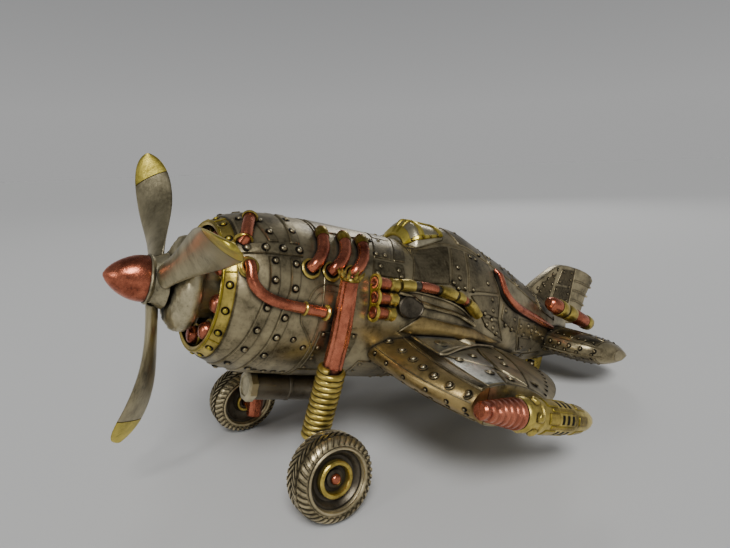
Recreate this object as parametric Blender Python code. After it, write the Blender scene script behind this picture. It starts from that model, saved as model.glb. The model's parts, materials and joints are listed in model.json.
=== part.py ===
"""Steampunk model aeroplane: a stubby radial-engined fighter that stands on its wheels.

Every piece is modelled in the flight frame: origin at the propeller hub, +X aft along
the thrust line, +Y to starboard, +Z up. The empty called stance then tips that frame
nose-up until the two main wheels and the tail wheel stand on the ground, Z = 0.
"""

import math

import bmesh
import bpy
from mathutils import Matrix, Vector

MM = 0.001
CLEARANCE = 0.35 * MM            # air between neighbouring pieces
RUNNING_CLEARANCE = 0.35 * MM    # between a shaft and its bore, all round

# ---- Propeller and spinner ----
PROP_RADIUS = 51.6 * MM
BLADE_COUNT = 3
FIRST_BLADE_ANGLE = math.radians(-46.3)   # from straight up, towards port
BLADE_ROOT_PITCH = math.radians(14.0)     # chord line against the plane of the disc
BLADE_TIP_PITCH = math.radians(66.5)
BLADE_MAX_CHORD = 11.3 * MM
BLADE_NECK = 0.58                # chord at the hub as a share of the largest chord
BLADE_WIDEST_AT = 0.66           # share of the propeller radius
BLADE_TIP_FULLNESS = 2.7         # a higher power makes the tip blunter
BLADE_ROOT_THICKNESS = 2.6 * MM
BLADE_TIP_THICKNESS = 0.9 * MM
BLADE_SWEEP = 3.3 * MM           # how far the blade's middle bows across its span
BLADE_RAKE = 2.3 * MM            # how far the blade's middle bows aft
SPINNER_RADIUS = 6.3 * MM
SPINNER_LENGTH = 11.2 * MM
SPINNER_REAR = -2.3 * MM
HUB_LENGTH = 4.3 * MM
HUB_REAR_RADIUS = 7.6 * MM
SHAFT_RADIUS = 2.0 * MM
SHAFT_DEPTH = 6.0 * MM

# ---- Engine and cowling ----
GEAR_CASE_RADIUS = 13.4 * MM
GEAR_CASE_LENGTH = 12.5 * MM
GEAR_CASE_SWELL = 3.6 * MM       # depth of its domed front
GEAR_CASE_RIM = 2.6 * MM         # full-width band behind the dome
GEAR_CASE_NECK_RADIUS = 8.8 * MM
LIP_FRONT = 11.3 * MM
LIP_LENGTH = 3.2 * MM
LIP_FRONT_RADIUS = 18.3 * MM
LIP_REAR_RADIUS = 19.8 * MM
LIP_THICKNESS = 1.1 * MM
COWL_SKIN = 1.6 * MM
COWL_ROUNDING = 3.0              # how late the cowling rounds in towards its lip
COWL_REAR = 38.0 * MM
CYLINDER_COUNT = 9
CYLINDER_FIRST_ANGLE = math.radians(20.0)
CYLINDER_RING_RADIUS = 13.2 * MM
CYLINDER_RADIUS = 3.3 * MM
CYLINDER_HEAD_LENGTH = 4.0 * MM
ENGINE_PLATE_FRONT = 17.0 * MM

# ---- Fuselage: the barrel, the razorback spine and the tapered tail ----
BARREL_RADIUS = 24.0 * MM
BARREL_REAR = 74.0 * MM
TAIL_END = 182.0 * MM
TAIL_END_HALF_WIDTH = 3.6 * MM
SPINE_CREST_AT = 104.0 * MM
SPINE_CREST_RISE = 8.5 * MM      # how far the spine stands above the barrel there
TAIL_END_HEIGHT = 6.6 * MM       # the tail end's top above the thrust line
TAIL_END_DEPTH = 13.0 * MM       # and its underside below it

# ---- Canopy ----
CANOPY_FRONT = 75.0 * MM
CANOPY_REAR = 91.0 * MM
CANOPY_HALF_WIDTH = 10.5 * MM
CANOPY_RISE = 7.8 * MM           # its crest above the barrel's top
CANOPY_SKIN = 1.3 * MM
FAIRING_RISE = 4.2 * MM          # the spine's extra height where it meets the canopy's rear
FAIRING_LENGTH = 27.0 * MM
PANE_COUNT = 3
PANE_FRACTION = 0.72

# ---- Wings ----
HALF_SPAN = 60.0 * MM
WING_ROOT_FRONT = 58.5 * MM
WING_ROOT_REAR = 144.0 * MM
WING_TIP_FRONT = 70.0 * MM
WING_TIP_REAR = 104.0 * MM
WING_ROOT_THICKNESS = 21.0 * MM
WING_TIP_THICKNESS = 16.0 * MM
WING_HEIGHT = -9.5 * MM          # leading edge above the thrust line, at the root
WING_WASH = -4.5 * MM            # trailing edge relative to the leading edge
WING_TIP_DROP = 7.0 * MM
LEADING_BAND_FRACTION = 0.17

# ---- Wing-tip pods ----
POD_FRONT = 67.0 * MM
POD_LENGTH = 50.5 * MM
POD_RADIUS = 4.9 * MM
POD_BARREL_FRACTION = 0.30
POD_BARREL_RADIUS = 3.9 * MM
POD_HEIGHT = -15.6 * MM
POD_TILT = math.radians(5.0)     # nose-up against the thrust line
BARREL_RIBS = 4

# ---- Tail ----
TAILPLANE_FRONT = 158.0 * MM
TAILPLANE_REAR = 194.0 * MM
TAILPLANE_HALF_SPAN = 33.8 * MM
TAILPLANE_THICKNESS = 15.5 * MM
TAILPLANE_HEIGHT = -4.5 * MM
FIN_FRONT = 150.0 * MM
FIN_TOP_FRONT = 173.0 * MM
FIN_HEIGHT = 29.0 * MM
FIN_REAR = 183.0 * MM
FIN_THICKNESS = 3.6 * MM
RUDDER_REAR = 201.0 * MM
RUDDER_FOOT = 4.0 * MM
TAIL_POD_FRONT = 153.0 * MM
TAIL_POD_LENGTH = 32.0 * MM
TAIL_POD_RADIUS = 3.3 * MM
TAIL_POD_SIDE = 13.0 * MM
TAIL_POD_HEIGHT = 11.5 * MM
TAIL_POD_DROOP = math.radians(12.0)

# ---- Main undercarriage ----
WHEEL_RADIUS = 12.0 * MM
TYRE_HALF_WIDTH = 4.7 * MM
TREAD_HALF_WIDTH = 2.0 * MM
SHOULDER_HALF_WIDTH = 4.1 * MM
TYRE_EDGE_DROP = 1.1 * MM        # from the shoulder in to the tyre's widest part
RIM_RADIUS = 8.3 * MM
BEAD_DEPTH = 1.3 * MM            # from the tyre's side in to the disc's edge
DISC_RECESS = 1.6 * MM           # from the disc's edge in to its face
HUB_RING_RADIUS = 5.5 * MM
HUB_BOLT_RADIUS = 1.9 * MM
BOLT_HEIGHT = 2.0 * MM
AXLE_RADIUS = 1.5 * MM
WHEEL_CAMBER = math.radians(7.0)
COIL_TYRE_GAP = 0.1 * MM         # between the coil and the tyre's inner shoulder
MAIN_AXLE_AT = 45.8 * MM
MAIN_AXLE_DROP = 43.9 * MM
LEG_RADIUS = 2.7 * MM
LEG_TOP_SHARE = 0.86             # the leg's radius at its top, as a share of LEG_RADIUS
LEG_MIDDLE_SHARE = 0.5 * (1.0 + LEG_TOP_SHARE)
LEG_TOP = 10.6 * MM
LEG_LEAN = math.radians(5.9)     # inwards and down, against the upright
COIL_TOP = -15.6 * MM
COIL_BOTTOM = -38.0 * MM
COIL_RADIUS = 4.0 * MM
COIL_WIRE = 1.8 * MM
COIL_FOOT_INSET = 4.6 * MM       # how far the coil's foot stands inboard of its top
LEG_TOP_AHEAD = 3.2 * MM         # of the wheel's axis
COIL_FOOT_AHEAD = 0.4 * MM

# ---- Tail wheel ----
TAIL_WHEEL_RADIUS = 3.0 * MM
TAIL_WHEEL_HALF_WIDTH = 1.5 * MM
TAIL_WHEEL_AT = 168.3 * MM
TAIL_WHEEL_DROP = 19.4 * MM
FORK_ARM = 1.3 * MM
TAIL_AXLE_RADIUS = 0.8 * MM

# ---- Pipework on the skin ----
STUB_RADIUS = 1.6 * MM
STUB_PLACES = [(38.5 * MM, 34.0 * MM), (46.0 * MM, 40.5 * MM), (52.5 * MM, 47.5 * MM)]
STUB_TOP_ANGLE = math.radians(38.0)
STUB_FOOT_ANGLE = math.radians(62.0)
INTAKE_RADIUS = 1.45 * MM
INTAKE_PATH = [(16.6, 66.0), (17.4, 77.0), (20.5, 84.5), (26.0, 88.0), (38.5, 90.5)]   # mm, degrees
BREATHER_RADIUS = 1.6 * MM
BREATHER_PATH = [(18.8, 24.0), (17.2, 34.0), (16.0, 45.0)]
MANIFOLD_AT = 54.5 * MM
MANIFOLD_PIPE_RADIUS = 1.8 * MM
MANIFOLD_PIPE_LENGTH = 9.0 * MM
MANIFOLD_ANGLES = [math.radians(68.0), math.radians(77.5), math.radians(87.0)]
SIDE_PIPE_RADIUS = 1.9 * MM
SIDE_PIPE_BENDS = [(74.0, 66.5), (86.0, 70.5), (94.0, 75.0), (99.5, 83.0)]   # after its start
TAIL_PIPE_RADIUS = 1.5 * MM
TAIL_PIPE_PATH = [(113.0, 48.0), (119.0, 60.0), (130.0, 67.0), (152.0, 82.0)]
BELLY_TUBE_RADIUS = 4.6 * MM
BELLY_TUBE_FRONT = 31.0 * MM
BELLY_TUBE_LENGTH = 32.0 * MM

# ---- Facets ----
ROUND_LARGE = 32
ROUND_MEDIUM = 20
ROUND_SMALL = 12
ROUND_PIPE = 8
TYRE_FACETS = 28
BLADE_FACETS = 10

SIDES = {"port": -1.0, "starboard": 1.0}

MATERIALS = {
    "bronze": ((0.20, 0.17, 0.13), 0.42, 0.9),
    "dark_bronze": ((0.09, 0.07, 0.05), 0.5, 0.85),
    "brown_brass": ((0.26, 0.18, 0.10), 0.42, 0.9),
    "brass": ((0.55, 0.41, 0.14), 0.35, 1.0),
    "copper": ((0.50, 0.16, 0.07), 0.3, 1.0),
    "blade_metal": ((0.42, 0.38, 0.30), 0.35, 0.95),
    "pane": ((0.50, 0.47, 0.40), 0.3, 0.6),
    "tyre_metal": ((0.30, 0.27, 0.20), 0.45, 0.85),
}


# =============================== general helpers ===============================

def clear_scene():
    for old in list(bpy.data.objects):
        bpy.data.objects.remove(old, do_unlink=True)


def material(name):
    found = bpy.data.materials.get(name)
    if found:
        return found
    colour, roughness, metallic = MATERIALS[name]
    made = bpy.data.materials.new(name)
    made.use_nodes = True
    shader = made.node_tree.nodes["Principled BSDF"]
    shader.inputs["Base Color"].default_value = (*colour, 1.0)
    shader.inputs["Roughness"].default_value = roughness
    shader.inputs["Metallic"].default_value = metallic
    return made


def add_empty(name, parent=None, location=(0.0, 0.0, 0.0), rotation=None):
    empty = bpy.data.objects.new(name, None)
    bpy.context.scene.collection.objects.link(empty)
    empty.parent = parent
    empty.location = location
    if rotation is not None:
        empty.rotation_euler = rotation.to_euler()
    return empty


def add_piece(name, bm, material_name, parent, smooth_angle=40.0):
    """Turn a bmesh into a named object with its faces pointing out."""
    bmesh.ops.recalc_face_normals(bm, faces=bm.faces)
    mesh = bpy.data.meshes.new(name)
    bm.to_mesh(mesh)
    bm.free()
    mesh.shade_smooth()
    mesh.set_sharp_from_angle(angle=math.radians(smooth_angle))
    mesh.materials.append(material(material_name))
    piece = bpy.data.objects.new(name, mesh)
    bpy.context.scene.collection.objects.link(piece)
    piece.parent = parent
    return piece


def add_cutter(name, bm, parent):
    cutter = add_piece(name, bm, "dark_bronze", parent)
    cutter.hide_render = True
    cutter.display_type = "WIRE"
    return cutter


def add_boolean(piece, other, operation):
    modifier = piece.modifiers.new(operation.lower(), "BOOLEAN")
    modifier.operation = operation
    modifier.solver = "EXACT"
    modifier.object = other


def skin_loops(bm, loops, closed_ends=True):
    """Join a row of equally long vertex loops with quads; close both ends."""
    for first, second in zip(loops, loops[1:]):
        count = max(len(first), len(second))
        for i in range(count):
            j = (i + 1) % count
            if len(first) == 1:
                bm.faces.new((first[0], second[i], second[j]))
            elif len(second) == 1:
                bm.faces.new((first[i], second[0], first[j]))
            else:
                bm.faces.new((first[i], second[i], second[j], first[j]))
    if closed_ends:
        for end in (loops[0], loops[-1]):
            if len(end) > 2:
                bm.faces.new(end)


def make_loops(bm, sections):
    return [[bm.verts.new(point) for point in section] for section in sections]


def ring_points(x, radius, segments, start=0.0, centre=(0.0, 0.0)):
    """A circle in a plane across the X axis, or one point where the radius is zero."""
    if radius == 0.0:
        return [Vector((x, centre[0], centre[1]))]
    points = []
    for i in range(segments):
        angle = start + 2.0 * math.pi * i / segments
        y = centre[0] - radius * math.sin(angle)
        z = centre[1] + radius * math.cos(angle)
        points.append(Vector((x, y, z)))
    return points


def turned(profile, segments, start=0.0):
    """Turn (x, radius) points round the X axis. Ends with radius 0 close at a pole;
    otherwise the last point joins the first and the body is a ring."""
    bm = bmesh.new()
    loops = make_loops(bm, [ring_points(x, r, segments, start) for x, r in profile])
    if profile[0][1] == 0.0 and profile[-1][1] == 0.0:
        skin_loops(bm, loops, closed_ends=False)
    else:
        skin_loops(bm, loops + [loops[0]], closed_ends=False)
    return bm


def lofted(sections):
    bm = bmesh.new()
    skin_loops(bm, make_loops(bm, sections))
    bmesh.ops.triangulate(bm, faces=bm.faces)     # flat faces, so that cuts stay clean
    return bm


def arc(centre, radii, start, end, steps):
    """Points on an ellipse arc in the (x, radius) plane, angles from +X towards +radius."""
    points = []
    for i in range(steps + 1):
        angle = start + (end - start) * i / steps
        points.append((centre[0] + radii[0] * math.cos(angle),
                       centre[1] + radii[1] * math.sin(angle)))
    return points


def smooth_step(value):
    value = min(max(value, 0.0), 1.0)
    return value * value * (3.0 - 2.0 * value)


def mix(first, second, share):
    return first + (second - first) * share


def curve_points(knots, steps):
    """Points on a smooth Catmull-Rom curve through the knots, steps per span."""
    knots = [Vector(knot) for knot in knots]
    ends = [knots[0] * 2.0 - knots[1]] + knots + [knots[-1] * 2.0 - knots[-2]]
    points = []
    for k in range(1, len(ends) - 2):
        p0, p1, p2, p3 = ends[k - 1:k + 3]
        for i in range(steps):
            t = i / steps
            points.append(0.5 * ((2.0 * p1) + (p2 - p0) * t
                                 + (2.0 * p0 - 5.0 * p1 + 4.0 * p2 - p3) * t * t
                                 + (3.0 * p1 - p0 - 3.0 * p2 + p3) * t * t * t))
    points.append(knots[-1])
    return points


def swept(path, radius_at, segments):
    """A round bar along a path; radius_at gives the radius at a share of the path."""
    sections = []
    side = None
    for i, point in enumerate(path):
        ahead = path[min(i + 1, len(path) - 1)] - path[max(i - 1, 0)]
        ahead.normalize()
        if side is None:
            side = ahead.orthogonal().normalized()
        side = (side - ahead * side.dot(ahead)).normalized()
        up = ahead.cross(side)
        radius = radius_at(i / (len(path) - 1))
        section = []
        for k in range(segments):
            angle = 2.0 * math.pi * (k + 0.5) / segments
            section.append(point + (side * math.cos(angle) + up * math.sin(angle)) * radius)
        sections.append(section)
    return lofted(sections)


# =============================== fuselage surface ===============================

def cowl_radius(x):
    """Outer radius of the barrel-shaped cowling, rounding in towards its lip."""
    run = BARREL_REAR * 0.5 - LIP_FRONT
    share = min(max((BARREL_REAR * 0.5 - x) / run, 0.0), 1.0)
    nose_drop = BARREL_RADIUS - LIP_FRONT_RADIUS - CLEARANCE
    return BARREL_RADIUS - nose_drop * share ** COWL_ROUNDING


def tail_share(x):
    return min(max((x - BARREL_REAR) / (TAIL_END - BARREL_REAR), 0.0), 1.0)


def half_width(x):
    if x <= BARREL_REAR:
        return cowl_radius(x)
    share = tail_share(x)
    narrowing = share ** 1.35 * (1.0 - 0.12 * math.sin(math.pi * share))
    return mix(BARREL_RADIUS, TAIL_END_HALF_WIDTH, narrowing)


def half_depth(x):
    if x <= BARREL_REAR:
        return cowl_radius(x)
    share = tail_share(x)
    return mix(BARREL_RADIUS, TAIL_END_DEPTH, share ** 1.15)


def fairing_rise(x):
    """Carries the canopy's rear down into the spine."""
    grown = smooth_step((x - CANOPY_FRONT) / (CANOPY_REAR - CANOPY_FRONT))
    gone = min(max((x - CANOPY_REAR) / FAIRING_LENGTH, 0.0), 1.0)
    return FAIRING_RISE * grown * (1.0 - gone) ** 1.6


def barrel_height(x):
    """Height of the skin's top above the thrust line, without the fairing."""
    if x <= BARREL_REAR:
        return cowl_radius(x)
    share = tail_share(x)
    taper = mix(BARREL_RADIUS, TAIL_END_HEIGHT, share ** 1.25)
    crest = smooth_step((x - BARREL_REAR) / (SPINE_CREST_AT - BARREL_REAR))
    fall = smooth_step((x - SPINE_CREST_AT) / (TAIL_END - SPINE_CREST_AT))
    return taper + SPINE_CREST_RISE * (crest - fall)


def spine_height(x):
    return barrel_height(x) + fairing_rise(x)


def skin_point(x, angle, offset=0.0):
    """A point on the fuselage skin, or offset outside it. Angle from the top to port."""
    across = math.sin(angle)
    up = math.cos(angle)
    height = barrel_height(x) + fairing_rise(x) * up ** 3 if up > 0.0 else half_depth(x)
    return Vector((x, -(half_width(x) + offset) * across, (height + offset) * up))


def skin_section(x, segments, offset=0.0):
    return [skin_point(x, 2.0 * math.pi * i / segments, offset) for i in range(segments)]


def mirrored(points, side):
    """Port points as they are, starboard points reflected across the centre plane."""
    if side == "port":
        return [Vector(p) for p in points]
    return [Vector((p[0], -p[1], p[2])) for p in points]


def add_skin_cutter(parent):
    """The fuselage grown by the clearance: it trims what grows out of the skin."""
    stations = [COWL_REAR * 0.9, BARREL_REAR]
    count = 10
    for i in range(1, count + 1):
        stations.append(mix(BARREL_REAR, TAIL_END, i / count))
    sections = [skin_section(x, ROUND_LARGE, CLEARANCE) for x in stations]
    return add_cutter("skin_cutter", lofted(sections), parent)


def add_fuselage(parent):
    start = COWL_REAR + CLEARANCE
    front = [skin_section(mix(start, BARREL_REAR, share), ROUND_LARGE) for share in (0.0, 0.5, 1.0)]
    add_piece("fuselage_front", lofted(front), "bronze", parent)
    stations = [BARREL_REAR + CLEARANCE]
    count = 10
    for i in range(1, count + 1):
        stations.append(mix(BARREL_REAR, TAIL_END, i / count))
    rear = [skin_section(x, ROUND_LARGE) for x in stations]
    add_piece("fuselage_rear", lofted(rear), "bronze", parent)


# =============================== propeller ===============================

def add_spinner(parent):
    nose = []
    steps = 7
    for i in range(steps + 1):
        share = i / steps
        radius = SPINNER_RADIUS * (1.0 - (1.0 - share) ** 2) ** 0.70
        nose.append((SPINNER_REAR - SPINNER_LENGTH * (1.0 - share), radius))
    nose[0] = (nose[0][0], 0.0)
    profile = nose + [(SPINNER_REAR, 0.0)]
    add_piece("spinner", turned(profile, ROUND_MEDIUM), "copper", parent)


def add_hub(parent):
    front = SPINNER_REAR + CLEARANCE
    rear = SPINNER_REAR + HUB_LENGTH
    shaft_end = rear + SHAFT_DEPTH
    profile = [(front, 0.0), (front, SPINNER_RADIUS), (front + 1.2 * MM, SPINNER_RADIUS + 0.3 * MM),
               (rear, HUB_REAR_RADIUS), (rear, SHAFT_RADIUS), (shaft_end, SHAFT_RADIUS),
               (shaft_end, 0.0)]
    add_piece("propeller_hub", turned(profile, ROUND_MEDIUM), "bronze", parent)


def blade_chord(share):
    """Paddle outline at a share of the propeller radius: narrow neck, rounded tip."""
    if share < BLADE_WIDEST_AT:
        neck_end = HUB_REAR_RADIUS / PROP_RADIUS
        rise = smooth_step((share - neck_end) / (BLADE_WIDEST_AT - neck_end))
        return BLADE_MAX_CHORD * mix(BLADE_NECK, 1.0, rise)
    bend = (share - BLADE_WIDEST_AT) / (1.0 - BLADE_WIDEST_AT)
    return BLADE_MAX_CHORD * math.sqrt(max(1.0 - bend ** BLADE_TIP_FULLNESS, 0.0))


def blade_section(share, root_radius):
    """One blade section across the radial direction, in the hub's YZ plane turned to +Z."""
    radius = mix(root_radius, PROP_RADIUS, share)
    pitch = mix(BLADE_ROOT_PITCH, BLADE_TIP_PITCH, share)
    chord = max(blade_chord(radius / PROP_RADIUS), 0.6 * MM)
    thickness = min(mix(BLADE_ROOT_THICKNESS, BLADE_TIP_THICKNESS, share), chord)
    along = Vector((math.sin(pitch), -math.cos(pitch), 0.0))
    across = Vector((math.cos(pitch), math.sin(pitch), 0.0))
    bow = math.sin(math.pi * share)
    centre = Vector((BLADE_RAKE * bow, BLADE_SWEEP * bow, radius))
    points = []
    for i in range(BLADE_FACETS):
        angle = 2.0 * math.pi * i / BLADE_FACETS
        flat = along * (0.5 * chord * math.cos(angle)) + across * (0.5 * thickness * math.sin(angle))
        points.append(flat + centre)
    return points


def add_blades(parent):
    root_radius = HUB_REAR_RADIUS + CLEARANCE
    shares = [0.0, 0.10, 0.25, 0.42, 0.58, 0.72, 0.84, 0.92, 0.97, 0.995]
    for number in range(BLADE_COUNT):
        angle = FIRST_BLADE_ANGLE + 2.0 * math.pi * number / BLADE_COUNT
        turn = Matrix.Rotation(angle, 4, "X")
        sections = [[turn @ p for p in blade_section(share, root_radius)] for share in shares]
        add_piece(f"propeller_blade_{number + 1}", lofted(sections), "blade_metal", parent)


def build_propeller(stance):
    axis = add_empty("propeller_axis", stance)
    add_spinner(axis)
    add_hub(axis)
    add_blades(axis)


# =============================== engine and cowling ===============================

def add_gear_case(parent):
    front = SPINNER_REAR + HUB_LENGTH + CLEARANCE
    rear = front + GEAR_CASE_LENGTH
    bore = SHAFT_RADIUS + RUNNING_CLEARANCE
    bore_end = front + SHAFT_DEPTH
    rim = front + GEAR_CASE_SWELL
    dome = arc((rim, 0.0), (-GEAR_CASE_SWELL, GEAR_CASE_RADIUS),
               math.radians(32.0), math.radians(90.0), 5)
    profile = [(bore_end, 0.0), (bore_end, bore), (dome[0][0], bore)] + dome
    profile += [(rim + GEAR_CASE_RIM, GEAR_CASE_RADIUS),
                (rim + 1.4 * GEAR_CASE_RIM, GEAR_CASE_NECK_RADIUS), (rear, GEAR_CASE_NECK_RADIUS), (rear, 0.0)]
    add_piece("gear_case", turned(profile, ROUND_MEDIUM), "bronze", parent)
    return rear


def cylinder_centres():
    centres = []
    for number in range(CYLINDER_COUNT):
        angle = CYLINDER_FIRST_ANGLE + 2.0 * math.pi * number / CYLINDER_COUNT
        centres.append((-CYLINDER_RING_RADIUS * math.sin(angle), CYLINDER_RING_RADIUS * math.cos(angle)))
    return centres


def add_engine(parent, case_rear):
    """A crankcase that fills the cowling, and a copper ring of cylinder heads in front of it."""
    inner = cowl_radius(ENGINE_PLATE_FRONT) - COWL_SKIN - 2.0 * CLEARANCE
    plate_front = max(ENGINE_PLATE_FRONT, case_rear + CLEARANCE)
    plate_rear = COWL_REAR
    profile = [(plate_front, 0.0), (plate_front, inner), (plate_rear, inner), (plate_rear, 0.0)]
    add_piece("crankcase", turned(profile, ROUND_LARGE), "dark_bronze", parent)
    rear = plate_front - CLEARANCE
    band = [(rear - 1.2 * MM, GEAR_CASE_RADIUS * 0.90), (rear - 1.2 * MM, inner - CYLINDER_RADIUS),
            (rear, inner - CYLINDER_RADIUS), (rear, GEAR_CASE_RADIUS * 0.90)]
    heads = add_piece("cylinder_heads", turned(band, ROUND_LARGE), "copper", parent)
    for number, centre in enumerate(cylinder_centres()):
        steps = [(rear - CYLINDER_HEAD_LENGTH, 0.0), (rear - CYLINDER_HEAD_LENGTH, CYLINDER_RADIUS * 0.55),
                 (rear - CYLINDER_HEAD_LENGTH * 0.7, CYLINDER_RADIUS * 0.95),
                 (rear - 0.1 * MM, CYLINDER_RADIUS), (rear - 0.1 * MM, 0.0)]
        bm = bmesh.new()
        loops = make_loops(bm, [ring_points(x, r, 12, 0.0, centre) for x, r in steps])
        skin_loops(bm, loops, closed_ends=False)
        head = add_cutter(f"head_shape_{number + 1}", bm, parent)
        add_boolean(heads, head, "UNION")


def add_cowling(parent):
    lip_rear = LIP_FRONT + LIP_LENGTH
    lip = [(LIP_FRONT, LIP_FRONT_RADIUS), (lip_rear, LIP_REAR_RADIUS),
           (lip_rear, LIP_REAR_RADIUS - LIP_THICKNESS), (LIP_FRONT, LIP_FRONT_RADIUS - LIP_THICKNESS)]
    add_piece("cowling_lip", turned(lip, ROUND_LARGE), "brass", parent)
    front = lip_rear + CLEARANCE
    steps = 6
    outer = []
    for i in range(steps + 1):
        x = mix(front, COWL_REAR, (i / steps) ** 1.5)
        outer.append((x, cowl_radius(x)))
    inner = [(x, r - COWL_SKIN) for x, r in reversed(outer)]
    add_piece("cowling", turned(outer + inner, ROUND_LARGE), "bronze", parent)


def build_engine(stance):
    case_rear = add_gear_case(stance)
    add_engine(stance, case_rear)
    add_cowling(stance)


# =============================== canopy ===============================

def canopy_section(x, inset, sink, segments):
    """Half-oval hoop standing in the spine, smaller by the inset and sunk by the sink."""
    share = (x - CANOPY_FRONT) / (CANOPY_REAR - CANOPY_FRONT)
    front_slope = smooth_step(share / 0.30) ** 0.8
    rear_slope = smooth_step((1.0 - share) / 0.22 + 0.62)
    swell = min(front_slope, rear_slope)
    width = mix(0.55, 1.0, swell) * CANOPY_HALF_WIDTH - inset
    base = spine_height(x) * 0.80 - sink
    crest = mix(spine_height(x) + 0.6 * MM, BARREL_RADIUS + CANOPY_RISE, swell) - inset
    points = []
    for i in range(segments + 1):
        angle = math.pi * i / segments
        across = -math.cos(angle)
        rise = math.sin(angle) ** 0.8
        points.append(Vector((x, width * across, mix(base, crest, rise))))
    return points


def canopy_body(inset, sink=0.0):
    count = 7
    sections = []
    for i in range(count + 1):
        x = mix(CANOPY_FRONT, CANOPY_REAR, i / count)
        x = min(max(x, CANOPY_FRONT + inset), CANOPY_REAR - inset)
        sections.append(canopy_section(x, inset, sink, 10))
    return lofted(sections)


def add_pane_cutter(number, side, parent):
    """A box that opens one side pane through the canopy skin."""
    pitch = (CANOPY_REAR - CANOPY_FRONT) * 0.80 / PANE_COUNT
    middle = CANOPY_FRONT + (CANOPY_REAR - CANOPY_FRONT) * 0.12 + pitch * (number + 0.5)
    half = pitch * PANE_FRACTION * 0.5
    low = spine_height(middle) + 0.8 * MM
    high = BARREL_RADIUS + CANOPY_RISE - 1.6 * MM
    outer = SIDES[side] * (CANOPY_HALF_WIDTH + 4.0 * MM)
    inner = SIDES[side] * 2.5 * MM
    sections = []
    for x in (middle - half, middle + half):
        sections.append([Vector((x, inner, low)), Vector((x, outer, low)),
                         Vector((x, outer, high)), Vector((x, inner, high))])
    return add_cutter(f"{side}_pane_cutter_{number + 1}", lofted(sections), parent)


def build_canopy(stance, skin_cutter):
    frame = add_piece("canopy_frame", canopy_body(0.0), "brass", stance)
    hollow = add_cutter("canopy_hollow", canopy_body(CANOPY_SKIN, 3.0 * MM), stance)
    add_boolean(frame, hollow, "DIFFERENCE")
    for side in SIDES:
        for number in range(PANE_COUNT):
            add_boolean(frame, add_pane_cutter(number, side, stance), "DIFFERENCE")
    add_boolean(frame, skin_cutter, "DIFFERENCE")
    glazing = add_piece("canopy_glazing", canopy_body(CANOPY_SKIN + 3.0 * CLEARANCE), "pane", stance)
    add_boolean(glazing, skin_cutter, "DIFFERENCE")


# =============================== wings and tail surfaces ===============================

def wing_edges(share):
    """Leading and trailing edge along the thrust line at a share of the half span."""
    front = mix(WING_ROOT_FRONT, WING_TIP_FRONT, share ** 3)
    rear = mix(WING_ROOT_REAR, WING_TIP_REAR, share ** 2.2)
    return front, rear


def section_half_depth(chord_share):
    """Rounded, blunt-nosed section: 1 where thickest, 0 at both edges."""
    return 1.9 * math.sqrt(max(chord_share, 0.0)) * (1.0 - chord_share) ** 0.85 / 1.02


def foil_loop(front, rear, y, front_height, rear_height, thickness, start, end, steps=7):
    """Closed outline of a section between two chord shares, upper side then lower."""
    shares = [mix(start, end, (i / steps) ** 1.6) for i in range(steps + 1)]
    upper = []
    lower = []
    for share in shares:
        x = mix(front, rear, share)
        middle = mix(front_height, rear_height, share)
        half = 0.5 * thickness * section_half_depth(share)
        upper.append(Vector((x, y, middle + half)))
        lower.append(Vector((x, y, middle - half)))
    if start == 0.0:
        lower = lower[1:]
    if end == 1.0:
        lower = lower[:-1]
    return upper + list(reversed(lower))


def wing_sections(side, start, end):
    sections = []
    root = BARREL_RADIUS * 0.45
    tip = HALF_SPAN - POD_RADIUS - CLEARANCE
    for share in (0.0, 0.30, 0.52, 0.70, 0.85, 1.0):
        y = mix(root, tip, share)
        front, rear = wing_edges(share)
        height = WING_HEIGHT - WING_TIP_DROP * share
        thickness = mix(WING_ROOT_THICKNESS, WING_TIP_THICKNESS, share ** 1.2)
        loop = foil_loop(front, rear, -y, height, height + WING_WASH * (1.0 - share), thickness,
                         start, end)
        sections.append(mirrored(loop, side))
    return sections


def build_wing(side, stance, skin_cutter):
    gap = CLEARANCE / (WING_TIP_REAR - WING_TIP_FRONT)
    band = add_piece(f"{side}_wing_leading_band", lofted(wing_sections(side, 0.0, LEADING_BAND_FRACTION)),
                     "brown_brass", stance)
    panel = add_piece(f"{side}_wing", lofted(wing_sections(side, LEADING_BAND_FRACTION + gap, 1.0)),
                      "bronze", stance)
    add_boolean(band, skin_cutter, "DIFFERENCE")
    add_boolean(panel, skin_cutter, "DIFFERENCE")


def place_along(bm, side, front, y, height, droop):
    """Turn a body made along +X nose-up or nose-down and move it to its place."""
    turn = Matrix.Rotation(droop, 4, "Y")
    move = Matrix.Translation(Vector((front, SIDES[side] * y, height)))
    bmesh.ops.transform(bm, matrix=move @ turn, verts=bm.verts)
    return bm


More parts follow.
